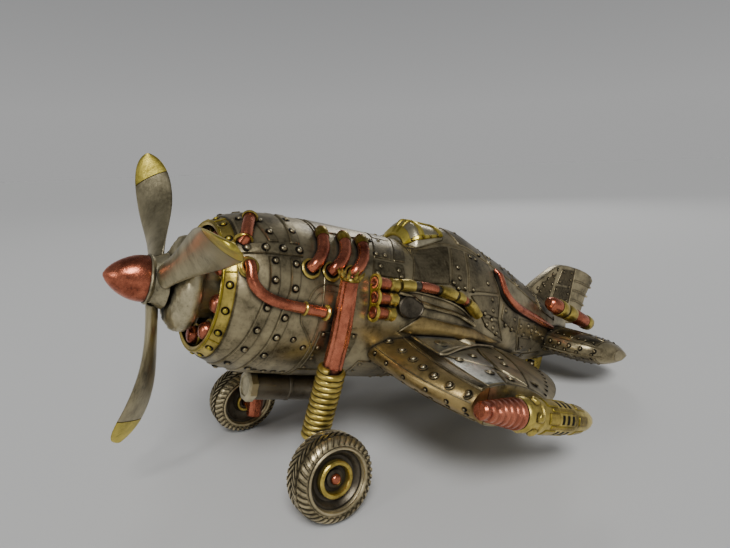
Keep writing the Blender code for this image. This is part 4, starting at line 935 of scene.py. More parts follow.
def canopy(share, degrees, lift):
    """The glazed hood: share runs aft, degrees from the port foot over the top."""
    x = mix(*CANOPY, share)
    front_slope = smooth_step(share / 0.30) ** 0.8
    rear_slope = smooth_step((1.0 - share) / 0.22 + 0.62)
    swell = min(front_slope, rear_slope)
    sizes = skin_sizes(x)
    spine = sizes[1] + sizes[3]
    width = mix(0.55, 1.0, swell) * CANOPY_HALF_WIDTH + lift
    base = spine * 0.80
    crest = mix(spine + 0.6, CANOPY_CREST, swell) + lift
    angle = math.radians(degrees)
    rise = max(math.sin(angle), 0.0) ** 0.8
    return Vector((x - lift * (1.0 - front_slope), -width * math.cos(angle), mix(base, crest, rise)))


def build_canopy():
    glass = Shape()
    rows = []
    for share in spread(0.0, 1.0, 30):
        rows.append([canopy(share, 180.0 * i / 32.0, -0.4) for i in range(33)])
    glass.loft(rows)
    make("canopy_panes", glass, "pane", replaces=("canopy_glazing",))
    bars = Shape()
    for low, high in ((0.06, 0.16), (0.34, 0.45), (0.86, 0.96)):
        bars.slab(canopy, [(low, 22.0), (high, 22.0), (high, 158.0), (low, 158.0)], 0.3, 0.3, (4, 30))
    for low, high in ((22.0, 31.0), (76.0, 86.0), (94.0, 104.0), (149.0, 158.0)):
        bars.slab(canopy, [(0.08, low), (0.95, low), (0.95, high), (0.08, high)], 0.25, 0.3, (24, 4))
    make("canopy_bars", bars, "yellow", replaces=("canopy_frame",))
    rivets = Shape()
    for degrees in (26.0, 154.0):
        rivets.studs(canopy, (0.18, degrees), (0.80, degrees), 4, 0.35, 0.7, 0.25)
    make("canopy_rivets", rivets, "brass")


# =============================== wings and tail ===============================

def foil(chord_range, y, heights, thickness, q, lift):
    """A blunt section. q runs from -1 (rear, underside) over 0 (nose) to 1 (rear, upper side)."""
    def outline(value):
        share = min(value * value, 1.0)
        half = 0.5 * thickness * 1.9 * abs(value) * (1.0 - share) ** 0.85 / 1.02
        z = mix(heights[0], heights[1], share) + math.copysign(half, value)
        return Vector((mix(*chord_range, share), y, z))
    ahead = outline(min(q + 0.01, 0.999)) - outline(max(q - 0.01, -0.999))
    normal = Vector((-ahead.z, 0.0, ahead.x)).normalized()
    return outline(q) + normal * lift


def wing(s, q, lift):
    """Port wing: s runs out along the span from 0 to 1."""
    chord = (mix(WING_ROOT[0], WING_TIP[0], abs(s) ** 3), mix(WING_ROOT[1], WING_TIP[1], abs(s) ** 2.2))
    height = WING_HEIGHT - WING_TIP_DROP * s
    thickness = mix(*WING_THICKNESS, abs(s) ** 1.2)
    y = -mix(WING_INNER, WING_OUTER, s)
    return foil(chord, y, (height, height + WING_WASH * (1.0 - s)), thickness, q, lift)


def build_wings():
    spans = spread(0.0, 1.0, 36)
    band = Shape()
    band.loft([[wing(s, q, 0.0) for q in spread(-BAND_EDGE, BAND_EDGE, 40)] for s in spans])
    make_sides("wing_band", band, "brown_brass", replaces=("wing_leading_band",))
    panel = Shape()
    rows = []
    for s in spans:
        upper = [wing(s, q, -0.25) for q in spread(BAND_EDGE - 0.01, 1.0, 34)]
        lower = [wing(s, q, -0.25) for q in spread(-1.0, -BAND_EDGE + 0.01, 34)]
        rows.append(upper[:-1] + lower)
    panel.loft(rows)
    make_sides("wing_skin", panel, "bronze", replaces=("wing",))

    trim = Shape()
    trim.seam(wing, [(0.11, 0.375), (0.37, 0.35), (0.56, 0.338), (0.75, 0.325), (0.9, 0.312),
                     (0.995, 0.30)], 0.36)
    trim.seam(wing, [(0.10, 0.12), (0.40, 0.10), (0.70, 0.07), (0.99, 0.05)], 0.22)
    trim.seam(wing, [(0.10, -0.30), (0.50, -0.30), (0.99, -0.30)], 0.3)
    for s, q in WING_WASHERS:
        trim.stud(wing, s, q, 0.85, 0.85)
        trim.hoop(wing(s, q, 0.1), wing(s, q, 1.0) - wing(s, q, 0.0), 1.35, 0.22, 18, 6)
    for s, q in NOSE_RIVETS:
        trim.stud(wing, s, q, 0.5, 0.7)
    trim.studs(wing, (0.2, -0.2), (0.96, -0.22), 8, 0.5, 0.7)
    make_sides("wing_band_trim", trim, "bronze_rivet")
    strip = Shape()
    strip.slab(wing, [(0.12, 0.385), (0.99, 0.315), (0.99, 0.40), (0.12, 0.41)], 0.15, 0.3, (30, 4))
    make_sides("wing_strip", strip, "bronze")

    # silver plates on the wing's top: worn metal, partly a painted sheen where light falls on that face
    silver = Shape()
    silver.slab(wing, [(0.02, 0.42), (0.585, 0.42), (0.44, 0.64), (0.02, 0.60)], 0.65, 0.6, (24, 10))
    silver.slab(wing, [(0.60, 0.425), (0.99, 0.41), (0.99, 0.60), (0.785, 0.635)], 0.2, 0.35, (14, 10))
    silver.slab(wing, [(0.595, 0.455), (0.765, 0.62), (0.77, 0.655), (0.46, 0.665)], 0.2, 0.35, (10, 10))
    make_sides("wing_worn_and_sheen_plates", silver, "silver")
    plates = Shape()
    plates.slab(wing, [(0.44, 0.685), (0.775, 0.675), (0.955, 0.80), (0.34, 0.80)], 0.2, 0.35, (14, 8))
    plates.slab(wing, [(0.80, 0.645), (0.99, 0.615), (0.99, 0.80), (0.97, 0.79)], 0.2, 0.35, (8, 8))
    plates.slab(wing, [(0.24, 0.815), (0.985, 0.815), (0.985, 0.955), (0.24, 0.955)], 0.2, 0.35, (20, 8))
    for q0, q1 in ((-0.47, -0.62), (-0.63, -0.80), (-0.81, -0.965)):
        for s0, s1 in ((0.26, 0.52), (0.53, 0.78), (0.79, 0.985)):
            plates.slab(wing, [(s0, q1), (s1, q1), (s1, q0), (s0, q0)], 0.2, 0.3, (8, 6))
    make_sides("wing_plates", plates, "bronze")
    leaf = Shape()
    leaf.slab(wing, [(0.0, 0.565), (0.20, 0.60), (0.37, 0.70), (0.0, 0.80)], 0.9, 0.7, (18, 14),
              lambda a, b: 1.1 * math.sin(math.pi * b) * (1.0 - a * a))
    make_sides("wing_root_leaf", leaf, "brown_brass")
    rivets = Shape()
    for s, q in PLATE_WASHERS:
        rivets.stud(wing, s, q, 0.85, 0.8, 0.2)
        rivets.hoop(wing(s, q, 0.3), wing(s, q, 1.0) - wing(s, q, 0.0), 1.4, 0.2, 18, 6)
    rivets.studs(wing, (0.36, 0.94), (0.96, 0.94), 9, 0.5, 0.6, 0.2)
    for q in (-0.50, -0.66, -0.84):
        rivets.studs(wing, (0.3, q), (0.95, q), 11, 0.5, 0.6, 0.2)
    make_sides("wing_rivets", rivets, "bronze_rivet")
    screws = Shape()
    for s, q in ((0.12, 0.505), (0.438, 0.50)):
        point = wing(s, q, 0.65)
        slotted_screw(screws, point, wing(s, q, 1.65) - point, 2.2)
    make_sides("wing_screws", screws, "pewter")
    beads = Shape()
    beads.seam(wing, [(0.06, 0.42), (0.2, 0.41), (0.34, 0.405), (0.52, 0.415), (0.588, 0.43), (0.565, 0.50),
                      (0.45, 0.625), (0.35, 0.71), (0.27, 0.80)], 0.45, 0.35)
    beads.seam(wing, [(0.42, 0.69), (0.60, 0.665), (0.787, 0.663), (0.90, 0.73), (0.975, 0.80)], 0.32, 0.1)
    make_sides("wing_beads", beads, "bronze_rivet")


def slotted_screw(shape, point, normal, radius):
    """A round head in two halves with the driver slot between them."""
    normal = Vector(normal).normalized()
    side, up = basis(normal)
    shape.dome(point, normal, radius, 0.25, 24)
    for sign in (1.0, -1.0):
        rows = []
        for out, lift in ((1.0, 0.0), (0.98, 0.5), (0.80, 0.9), (0.02, 1.05)):
            row = []
            for i in range(13):
                angle = math.pi * i / 12.0
                offset = up * (sign * (0.14 * radius + out * 0.86 * radius * math.sin(angle)))
                row.append(point + side * (out * radius * math.cos(angle)) + offset + normal * (lift * 0.8))
            rows.append(row)
        shape.loft(rows)


def tailplane(s, q, lift):
    round_off = math.sqrt(max(1.0 - s ** 5, 0.0))
    middle = mix(*TAILPLANE, 0.56)
    grown = max(round_off, 0.24)
    chord = (mix(middle, TAILPLANE[0], grown), mix(middle, TAILPLANE[1], grown))
    thickness = TAILPLANE_THICKNESS * max(round_off, 0.26) ** 0.7
    y = -mix(1.4, TAILPLANE_HALF_SPAN, s)
    return foil(chord, y, (TAILPLANE_HEIGHT, TAILPLANE_HEIGHT), thickness, q, lift)


def build_tailplanes():
    base = Shape()
    rows = []
    for s in [1.0 - (1.0 - t) ** 1.6 for t in spread(0.0, 1.0, 30)]:
        rows.append([tailplane(s, q, 0.0) for q in spread(-1.0, 1.0, 61)[:-1]])
    base.loft(rows)
    make_sides("tailplane_skin", base, "bronze", replaces=("tailplane",))
    plates = Shape()
    rivets = Shape()
    beads = Shape()
    for sign in (1.0, -1.0):
        for q0, q1 in ((0.24, 0.50), (0.515, 0.72), (0.735, 0.93)):
            for s0, s1 in ((0.10, 0.34), (0.36, 0.62), (0.64, 0.88)):
                low, high = sorted((sign * q0, sign * q1))
                plates.slab(tailplane, [(s0, low), (s1, low), (s1, high), (s0, high)], 0.22, 0.3, (6, 6))
                near = sign * (q0 + 0.05)
                rivets.studs(tailplane, (s0 + 0.04, near), (s1 - 0.04, near), 3, 0.45, 0.75, 0.22)
        beads.seam(tailplane, [(s, sign * 0.17) for s in spread(0.08, 0.93, 8)], 0.34, 0.0, 3)
    rivets.studs(tailplane, (0.12, 0.02), (0.88, 0.02), 7, 0.62, 0.8)
    rivets.studs(tailplane, (0.15, -0.12), (0.86, -0.12), 6, 0.5, 0.8)
    make_sides("tailplane_plates", plates, "bronze")
    make_sides("tailplane_rivets", rivets, "bronze_rivet")
    make_sides("tailplane_beads", beads, "bronze_rivet")


FIN_OUTLINE = [(149.0, 4.0), (150.0, 12.6), (156.0, 18.0), (162.0, 22.6), (168.0, 26.9), (172.5, 28.6),
               (178.0, 29.0), (183.0, 28.8), (183.0, 2.0)]
RUDDER_OUTLINE = [(183.4, 2.0), (183.4, 28.8), (187.5, 28.6), (193.0, 27.9), (197.6, 26.6), (199.6, 24.6),
                  (198.0, 21.4), (196.0, 17.0), (195.2, 11.0), (194.0, 3.0)]


def upright(outline, thickness):
    """A cushion-edged plate standing in the centre plane."""
    shape = Shape()
    middle = Vector((sum(p[0] for p in outline), sum(p[1] for p in outline))) / len(outline)
    rows = []
    for angle in spread(-math.pi * 0.5, math.pi * 0.5, 11):
        shrink = 1.0 - 0.11 * (1.0 - math.cos(angle) ** 0.5)
        rows.append([Vector((mix(middle.x, x, shrink), 0.5 * thickness * math.sin(angle),
                             mix(middle.y, z, shrink))) for x, z in outline])
    shape.loft(rows)
    return shape


def build_fin():
    make("fin_skin", upright(FIN_OUTLINE, 3.8), "bronze", replaces=("fin",))
    make("rudder_skin", upright(RUDDER_OUTLINE, 3.0), "bronze", replaces=("rudder",))
    plates = Shape()
    rivets = Shape()
    ribs = Shape()
    for side in (1.0, -1.0):
        def face(u, v, lift, side=side):
            return Vector((u, -side * (FIN_FACE + lift), v))
        plates.slab(face, [(156.0, 10.0), (167.5, 10.0), (170.0, 25.0), (160.0, 18.5)], 0.25, 0.35, (6, 6))
        plates.slab(face, [(168.6, 10.0), (181.8, 10.0), (181.8, 19.0), (170.4, 19.0)], 0.25, 0.35, (6, 6))
        plates.slab(face, [(170.8, 19.8), (181.8, 19.8), (181.8, 27.2), (173.0, 27.0)], 0.25, 0.35, (6, 6))
        for start, end, count in (((158.5, 12.5), (162.5, 18.0), 3), ((166.6, 13.0), (168.6, 22.5), 4),
                                  ((170.8, 12.0), (171.4, 17.5), 2), ((180.6, 13.0), (180.6, 26.0), 5),
                                  ((173.0, 21.0), (174.6, 25.8), 2), ((152.5, 11.5), (170.0, 26.2), 7)):
            rivets.studs(face, start, end, count, 0.5, 0.75, 0.25)
        ribs.seam(face, [(183.2, 4.0), (183.2, 28.2)], 0.45, 0.0, 4)
        for z, end in ((8.0, 196.6), (12.5, 197.2), (17.0, 198.4), (21.5, 199.8)):
            ribs.seam(face, [(184.2, z + 1.4), (190.0, z + 1.0), (end - 1.2, z - 0.5)], 0.55, -0.45, 5)
    make("fin_plates", plates, "bronze")
    make("fin_rivets", rivets, "bronze_rivet")
    make("rudder_ribs", ribs, "bronze_rivet")


# =============================== pods ===============================

def pod_place(front, y, height, degrees):
    return Matrix.Translation(Vector((front, -y, height))) @ Matrix.Rotation(math.radians(degrees), 4, "Y")


def build_wing_pods():
    place = pod_place(67.0, HALF_SPAN, -15.6, 5.0)
    barrel = Shape()
    profile = [(0.0, 0.1), (0.0, 1.9), (0.5, 2.45), (2.2, 2.5), (2.6, 2.2)]
    ribs = 6
    for number in range(ribs):
        x = mix(2.8, 13.2, number / (ribs - 1))
        grown = mix(2.9, 4.3, number / (ribs - 1))
        profile += [(x, grown - 0.5), (x + 0.25, grown), (x + 1.3, grown), (x + 1.6, grown - 0.5)]
    profile += [(15.6, 3.6), (15.6, 0.1)]
    barrel.turned(profile, 40, place)
    barrel.roughen(0.10, 1.2)
    make_sides("pod_ribbed_barrel", barrel, "copper", replaces=("pod_barrel",))
    housing = Shape()
    shell = [(15.2, 0.1), (15.2, 4.2), (15.8, 4.75), (17.0, 4.9), (17.3, 4.5), (20.6, 4.6), (20.9, 5.0),
             (22.6, 5.0), (22.9, POD_RADIUS), (POD_TAPER_AT, POD_RADIUS)]
    for share in spread(0.05, 0.96, 12):
        angle = share * math.pi * 0.5
        shell.append((POD_TAPER_AT + POD_TAPER * math.sin(angle), POD_RADIUS * math.cos(angle) ** 0.75))
    shell.append((POD_TAPER_AT + POD_TAPER, 0.1))
    housing.turned(shell, 48, place)

    def around(u, v, lift):
        share = min((u - POD_TAPER_AT) / POD_TAPER, 0.98)
        taper = 1.0 if u < POD_TAPER_AT else math.cos(math.asin(share)) ** 0.75
        return place @ polar(u, POD_RADIUS * taper + lift, math.radians(v))

    def relief(shape, x, degrees, *options):
        corners = [(x[0], degrees[0]), (x[1], degrees[0]), (x[1], degrees[1]), (x[0], degrees[1])]
        shape.slab(around, corners, *options)

    for degrees in POD_SECTORS:
        point = around(19.0, degrees + 20.0, -0.3)
        housing.dome(point, around(19.0, degrees + 20.0, 1.0) - point, 1.5, 0.9, 6)
    for degrees in POD_SECTORS:
        relief(housing, (23.4, 28.4), (degrees, degrees + 40.0), 0.35, 0.3, (4, 5))
        relief(housing, (25.0, 36.5), (degrees + 41.0, degrees + 57.0), 0.25, 0.3, (8, 4))
        housing.slab(around, [(38.0, degrees), (43.5, degrees), (43.0, degrees + 40.0),
                              (38.0, degrees + 40.0)], 0.2, 0.3, (6, 5))
    make_sides("pod_shell", housing, "brass", replaces=("pod_housing",))
    # painted shade: near-black strips stand for the dark inside the housing's slots
    slots = Shape()
    for degrees in POD_SECTORS:
        for start in (29.6, 32.0, 34.4):
            relief(slots, (start, start + 1.2), (degrees + 4, degrees + 36), 0.06, 0.1, (3, 5))
    make_sides("pod_slots", slots, "painted_shadow")


def build_tail_pods():
    place = pod_place(153.0, 13.0, 11.5, 12.0)
    cap = Shape()
    cap.turned([(-0.6, 0.1), (-0.6, 1.6), (0.2, 2.4), (0.2, 2.0), (0.8, 2.6), (2.6, 3.1), (6.0, 3.2),
                (6.4, 2.9), (6.4, 0.1)], 32, place)
    cap.turned([(17.8, 0.1), (17.8, 3.1), (18.4, 3.3), (27.8, 2.9), (28.2, 0.1)], 32, place)
    make_sides("tail_pod_caps", cap, "copper", replaces=("tail_pod",))
    bands = Shape()
    bands.turned([(6.4, 0.1), (6.4, 3.3), (6.8, 3.6), (10.2, 3.6), (10.6, 3.3), (10.6, 0.1)], 32, place)
    bands.turned([(12.2, 0.1), (12.2, 3.1), (12.6, 3.4), (17.2, 3.4), (17.8, 3.2), (17.8, 0.1)], 32, place)
    bands.turned([(28.0, 0.1), (28.0, 3.0), (28.5, 3.3), (31.4, 3.1), (32.0, 2.6), (32.0, 0.1)], 32, place)
    make_sides("tail_pod_bands", bands, "brass")
    gap = Shape()
    gap.turned([(10.4, 0.1), (10.4, 2.7), (12.4, 2.7), (12.4, 0.1)], 24, place)
    make_sides("tail_pod_neck", gap, "dark")


# =============================== pipes ===============================

def skin_path(places, lift, steps=6):
    return smooth_curve([skin(x, degrees, lift) for x, degrees in places], steps)


def build_stubs():
    stubs = Shape()
    collars = Shape()
    for top, foot in STUB_PLACES:
        knots = [(top + 0.4, 33.0), (top, 40.0), (mix(top, foot, 0.22), 50.0), (mix(top, foot, 0.62), 57.5),
                 (foot, 62.0)]
        path = skin_path(knots, 1.75)
        path = [skin(top + 0.8, 31.0, 0.2)] + path + [skin(foot - 0.6, 63.5, 0.4)]
        single = Shape()
        single.tube(path, lambda share: 1.62 + 0.12 * math.sin(math.pi * share), 20)
        single.roughen(0.08, 1.5)
        stubs.add(single)
        collars.tube(path[1:8], lambda share: 2.0 - 0.15 * abs(2.0 * share - 1.0), 20)
        foot_normal = skin(foot, 63.5, 1.0) - skin(foot, 63.5, 0.0)
        collars.hoop(skin(foot - 0.4, 63.5, 0.35), foot_normal, 2.5, 0.5)
    make_sides("stub_pipes", stubs, "copper", replaces=[f"exhaust_stub_{n}" for n in (1, 2, 3)])
    make_sides("stub_collars", collars, "brass")


def build_side_pipes():
    intake = skin_path([(16.6, 66.0), (17.4, 77.0), (20.5, 84.5), (26.0, 88.0), (38.5, 90.5)], 1.7)
    pipe = Shape()
    pipe.tube([skin(16.4, 64.5, 0.3)] + intake, 1.5, 20)
    pipe.roughen(0.07, 1.6)
    make_sides("intake_bend", pipe, "copper", replaces=("intake_pipe",))
    rings = Shape()
    start_at = (16.6, 66.5)
    outward = skin(*start_at, 1.0) - skin(*start_at, 0.0)
    rings.hoop(skin(*start_at, 0.9), outward, 2.15, 0.5)
    rings.hoop(skin(*start_at, 0.3), outward, 2.45, 0.5)
    rings.hoop(intake[-1], intake[-1] - intake[-3], 1.75, 0.55)
    rings.hoop(intake[-4], intake[-3] - intake[-5], 1.6, 0.4)
    make_sides("intake_rings", rings, "brass")

    side = skin_path([(63.6, 67.0), (74.0, 66.0), (86.0, 70.0), (94.0, 75.5), (100.5, 83.0)], 2.2, 8)
    parts = {"copper": Shape(), "brass": Shape(), "dark": Shape()}
    last = len(side) - 1
    for start, end, kind in SIDE_PIPE_PARTS:
        piece = side[round(start * last):round(end * last) + 1]
        size = SIDE_PIPE_RADII[kind]
        parts[kind].tube(piece, lambda share, size=size: size * (0.88 + 0.12 * math.sin(math.pi * share)), 18)
    parts["brass"].roughen(0.25, 1.2)
    for kind, shape in parts.items():
        node = ("side_pipe",) if kind == "brass" else ()
        make_sides(f"side_pipe_{kind}", shape, kind, replaces=node)

    tail = skin_path([(115.5, 42.0), (117.5, 48.0), (120.0, 62.0), (128.0, 70.0), (142.0, 75.5),
                      (162.0, 86.0)], 0.9)
    snake = Shape()
    snake.tube(tail, lambda share: 1.55 * min(1.0, 0.35 + 3.5 * share, 0.5 + 5.0 * (1.0 - share)), 16)
    make_sides("tail_pipe_bend", snake, "copper", replaces=("tail_pipe",))
    # painted shadow: a near-black tube just under the tail pipe, where its shadow falls on the skin
    painted_shade = Shape()
    below = Vector((-0.6, 0.35, -0.9))
    painted_shade.tube([point + below for point in tail[3:]], lambda share: mix(1.7, 0.6, share), 10)
    make_sides("tail_pipe_shadow", painted_shade, "painted_shadow")
    breather = skin_path([(18.8, 24.0), (17.2, 34.0), (16.0, 45.0)], 1.8)
    short = Shape()
    short.tube([skin(19.2, 21.0, 0.2)] + breather + [skin(15.6, 47.0, 0.3)], 1.6, 18)
    make("breather_bend", short, "copper", replaces=("breather_pipe",))
    foot = Shape()
    foot.hoop(skin(15.8, 46.0, 0.6), breather[-1] - breather[-2], 2.1, 0.5)
    foot.hoop(breather[1], breather[1] - breather[0], 1.85, 0.35)
    make("breather_rings", foot, "brass")


def build_manifold():
    plate = Shape()
    pipes = Shape()
    ends = Shape()
    for degrees, length in ((68.0, 8.2), (77.5, 7.6), (87.0, 7.2)):
        centre = skin(54.5, degrees, 2.0)
        place = Matrix.Translation(centre)
        plate.hoop(centre + FORWARD * 0.4, FORWARD, 2.45, 0.5)
        pipes.turned([(0.0, 0.1), (-0.9, 1.2), (-0.9, 1.7), (-0.2, 2.05), (0.8, 1.95), (length * 0.5, 1.85),
                      (length * 0.58, 1.5), (length * 0.58, 0.1)], 20, place)
        ends.turned([(length * 0.55, 0.1), (length * 0.55, 1.5), (length * 0.62, 2.1), (length * 0.75, 1.9),
                     (length * 0.90, 2.15), (length, 1.6), (length + 0.3, 0.1)], 20, place)
    for start, end in ((68.0, 77.5), (77.5, 87.0)):
        middle = mix(start, end, 0.5)
        plate.tube([skin(54.3, start, 0.4), skin(54.3, middle, 0.5), skin(54.3, end, 0.4)], 0.8, 12)
    pipes.roughen(0.12, 1.1)
    ends.roughen(0.25, 1.0)
    make_sides("manifold_plate", plate, "yellow")
    make_sides("manifold_pipes", pipes, "copper", replaces=("exhaust_manifold",))
    make_sides("manifold_ends", ends, "brass")


def build_root_fairing():
    """The two smooth leaves over the wing root, the bright edge between them and the dark oval."""
    def leaf(a, b):
        lengthwise = math.sin(math.pi * min(max(a, 0.0), 1.0)) ** 0.7
        return 2.6 * lengthwise * math.sin(math.pi * min(max(b, 0.0), 1.0)) ** 0.5
    fairing = Shape()
    fairing.slab(skin, [(64.0, 71.0), (101.5, 86.0), (101.5, 89.0), (70.0, 76.0)], 0.1, 0.5, (26, 10),
                 lambda a, b: 0.5 * leaf(a, b))
    fairing.slab(skin, [(74.0, 86.0), (100.0, 92.0), (124.0, 109.0), (66.0, 100.0)], 0.1, 0.5, (30, 16), leaf)
    make_sides("root_fairing", fairing, "brown_brass")
    edge = Shape()
    edge.seam(skin, [(64.0, 71.0), (69.0, 73.0), (74.0, 78.0), (79.5, 79.6), (84.0, 81.0), (91.0, 83.4),
                     (101.5, 90.0)], 0.75, 0.7)
    edge.seam(skin, [(64.0, 70.0), (72.5, 69.0), (82.5, 72.0), (92.5, 78.5), (101.0, 87.0)], 0.4, 0.2)
    make_sides("root_edge", edge, "bronze_rivet")
    oval = Shape()
    rows = []
    for scale, lift in ((1.0, -0.4), (1.0, 1.2), (0.90, 1.5), (0.86, 1.35), (0.05, 1.4)):
        row = []
        for angle in circle(28):
            row.append(skin(69.0 + 5.0 * scale * math.cos(angle), 81.0 + 8.0 * scale * math.sin(angle), lift))
        rows.append(row)
    oval.loft(rows)
    oval.roughen(0.15, 1.2)
    make_sides("root_oval", oval, "dark")


def build_belly_tube():
    centre = Matrix.Translation(UP * BELLY_TUBE_HEIGHT)
    tube = Shape()
    tube.turned([(32.6, 0.1), (32.6, 3.9), (33.4, 4.25), (44.0, 4.35), (44.3, 4.6), (45.0, 4.6), (45.3, 4.3),
                 (57.0, 4.5), (60.0, 4.4), (63.0, 2.8), (63.0, 0.1)], 40, centre)
    tube.roughen(0.10, 2.2)
    make("belly_tube_barrel", tube, "dark", replaces=("belly_tube",))
    face = Shape()
    face.turned([(31.0, 0.1), (31.0, 3.1), (30.7, 3.4), (30.7, 4.1), (31.1, 4.9), (33.2, 4.9), (33.2, 0.1)],
                8, centre @ Matrix.Rotation(math.pi / 8.0, 4, "X"))
    make("belly_tube_face", face, "pewter")


# =============================== undercarriage ===============================

LEG_TOP = Vector((42.6, -28.09, 10.6))
COIL_END = Vector((45.4, -20.79, -38.0))
KNEE = Vector((44.11, -25.39, -15.6))
COIL_TURNS = 13
COIL_WIRE = 0.95
COIL_RADIUS = 3.25
COIL_STEPS = 22                  # points in each turn
CROWN_POINTS = 9


def build_legs():
    leg = Shape()
    down = (KNEE - LEG_TOP).normalized()
    bow = Vector((0.5, 0.0, 0.0))
    knots = [LEG_TOP, LEG_TOP.lerp(KNEE, 0.3) + bow * 0.4, LEG_TOP.lerp(KNEE, 0.62) + bow, KNEE - down * 0.2]
    leg.tube(smooth_curve(knots, 8), lambda share: mix(2.45, 2.75, smooth_step(share * 1.6)), 56, lobes=9)
    leg.tube([KNEE - down * 1.0, COIL_END + Vector((0, 0, 1.0))], 2.4, 16)
    leg.roughen(0.09, 2.4)
    make_sides("leg_tube", leg, "copper", replaces=("leg",))
    crown = Shape()
    crown.hoop(LEG_TOP + down * 0.5, down, 2.4, 0.6)
    side, up = basis(down)
    for angle in circle(CROWN_POINTS):
        around = radial(side, up, angle)
        root = LEG_TOP + down * 0.3 + around * 2.1
        crown.tube([root, root + around * 1.1 - down * 0.9, root + around * 1.7 - down * 2.0],
                   lambda share: mix(0.75, 0.12, share), 8)
    make_sides("leg_crown", crown, "brass")
    coil = Shape()
    axis = COIL_END - KNEE
    side, up = basis(axis.normalized())
    steps = COIL_TURNS * COIL_STEPS
    helix = []
    for i in range(steps + 1):
        share = i / steps
        angle = 2.0 * math.pi * COIL_TURNS * share
        helix.append(KNEE + axis * share + radial(side, up, angle) * COIL_RADIUS)
    coil.tube(helix, COIL_WIRE, 10)
    coil.roughen(0.08, 1.4)
    make_sides("coil_spring", coil, "brass", replaces=("leg_coil",))
    for node in ("port_axle", "starboard_axle"):
        paint(node, "copper")


def tyre_face(theta, w, lift):
    """The tyre's outer surface: theta in degrees, w across it from -TREAD_EDGE to TREAD_EDGE."""
    out = min(abs(w), TREAD_EDGE)
    if out < TREAD_FLAT:
        x = out / TREAD_FLAT * TREAD_HALF_FLAT
        radius = TREAD_RADIUS
        normal = (0.15, 1.0)
    else:
        bend = (out - TREAD_FLAT) / TREAD_BEND * math.radians(112.0)
        x = TREAD_HALF_FLAT + (TYRE_HALF_WIDTH - 2.25) * math.sin(bend)
        radius = TREAD_RADIUS - 2.6 * (1.0 - math.cos(bend)) * 0.72
        normal = (math.sin(bend), math.cos(bend))
    x = math.copysign(x + lift * normal[0], w)
    return polar(x, radius + lift * normal[1], math.radians(theta))


def paint(node, material):
    """Give a node of the solid model its material."""
    materials = frame["nodes"][node].data.materials
    materials.clear()
    materials.append(MATERIALS[material])


def build_wheels():
    for side in ("port", "starboard"):
        body = f"{side}_wheel"
        place = joint_matrix(f"{side}_wheel_spin")
        tyre = Shape()
        profile = []
        for w in spread(-TREAD_EDGE, TREAD_EDGE, 41):
            point = tyre_face(0.0, w, 0.0)
            profile.append((point.x, point.z))
        edge_x = profile[-1][0]
        profile += [(edge_x - 0.9, RIM_RADIUS - 0.2), (edge_x - 1.5, RIM_RADIUS - 0.3),
                    (1.5 - edge_x, RIM_RADIUS - 0.3), (0.9 - edge_x, RIM_RADIUS - 0.2)]
        tyre.turned(profile, 96, loop=True)
        for x in (4.35, -4.35):
            tyre.axis_hoop(x, 8.75, 0.5, 72)
        pitch = 360.0 / TYRE_LUGS
        thick = pitch * 0.66
        for number in range(TYRE_LUGS):
            for sign in (1.0, -1.0):
                near = (number + (0.0 if sign > 0 else 0.5)) * pitch
                far = near + pitch * 1.5
                tyre.slab(tyre_face, [(near, sign * 0.03), (near + thick, sign * 0.03),
                                      (far + thick, sign * 0.50), (far, sign * 0.50)], 0.6, 0.2, (2, 5))
                edge = far + pitch * 0.4
                slant = pitch * 0.9
                tyre.slab(tyre_face, [(edge, sign * 0.56), (edge + thick, sign * 0.56),
                                      (edge + thick + slant, sign * 1.08), (edge + slant, sign * 1.08)],
                          0.5, 0.2, (2, 7))
        make(f"{side}_tyre_tread", tyre, "tyre", body, replaces=(f"{side}_tyre",), place=place)
        disc = Shape()
        disc.turned([(1.8, 1.9), (1.8, 4.6), (1.9, 6.2), (2.9, 7.0), (3.3, 7.5), (3.2, 8.1), (-3.2, 8.1),
                     (-3.2, 7.4), (-2.0, 6.2), (-1.8, 4.6), (-3.2, 3.6), (-3.2, 1.9)], 56, loop=True)
        make(f"{side}_wheel_dish", disc, "dark", body, replaces=(f"{side}_wheel_disc",), place=place)
        ring = Shape()
        ring.turned([(1.6, 3.6), (3.2, 3.7), (3.75, 4.05), (3.8, 4.7), (3.5, 5.1), (1.6, 5.3)], 56, loop=True)
        ring.axis_hoop(-3.1, 3.1, 0.6, 40)
        ring.roughen(0.10, 1.5)
        make(f"{side}_wheel_ring", ring, "brass", body, place=place)
        bolt = Shape()
        bolt.turned([(1.95, 0.1), (1.95, 2.5), (2.5, 2.5), (2.7, 2.0), (2.7, 0.1)], 32)
        make(f"{side}_bolt_washer", bolt, "dark", place=place)
        head = Shape()
        head.dome(AFT * 2.7, AFT, 1.5, 0.8, 20)
        make(f"{side}_bolt_head", head, "copper", replaces=(f"{side}_axle_bolt",), place=place)


def build_tail_gear():
    for node, material in (("tail_fork", "brass"), ("tail_wheel", "tyre")):
        paint(node, material)
        bevel = frame["nodes"][node].modifiers.new("edges", "BEVEL")
        bevel.width = 0.12 * MM
        bevel.segments = 2
        bevel.limit_method = "ANGLE"
        bevel.angle_limit = math.radians(40.0)


# =============================== stage ===============================

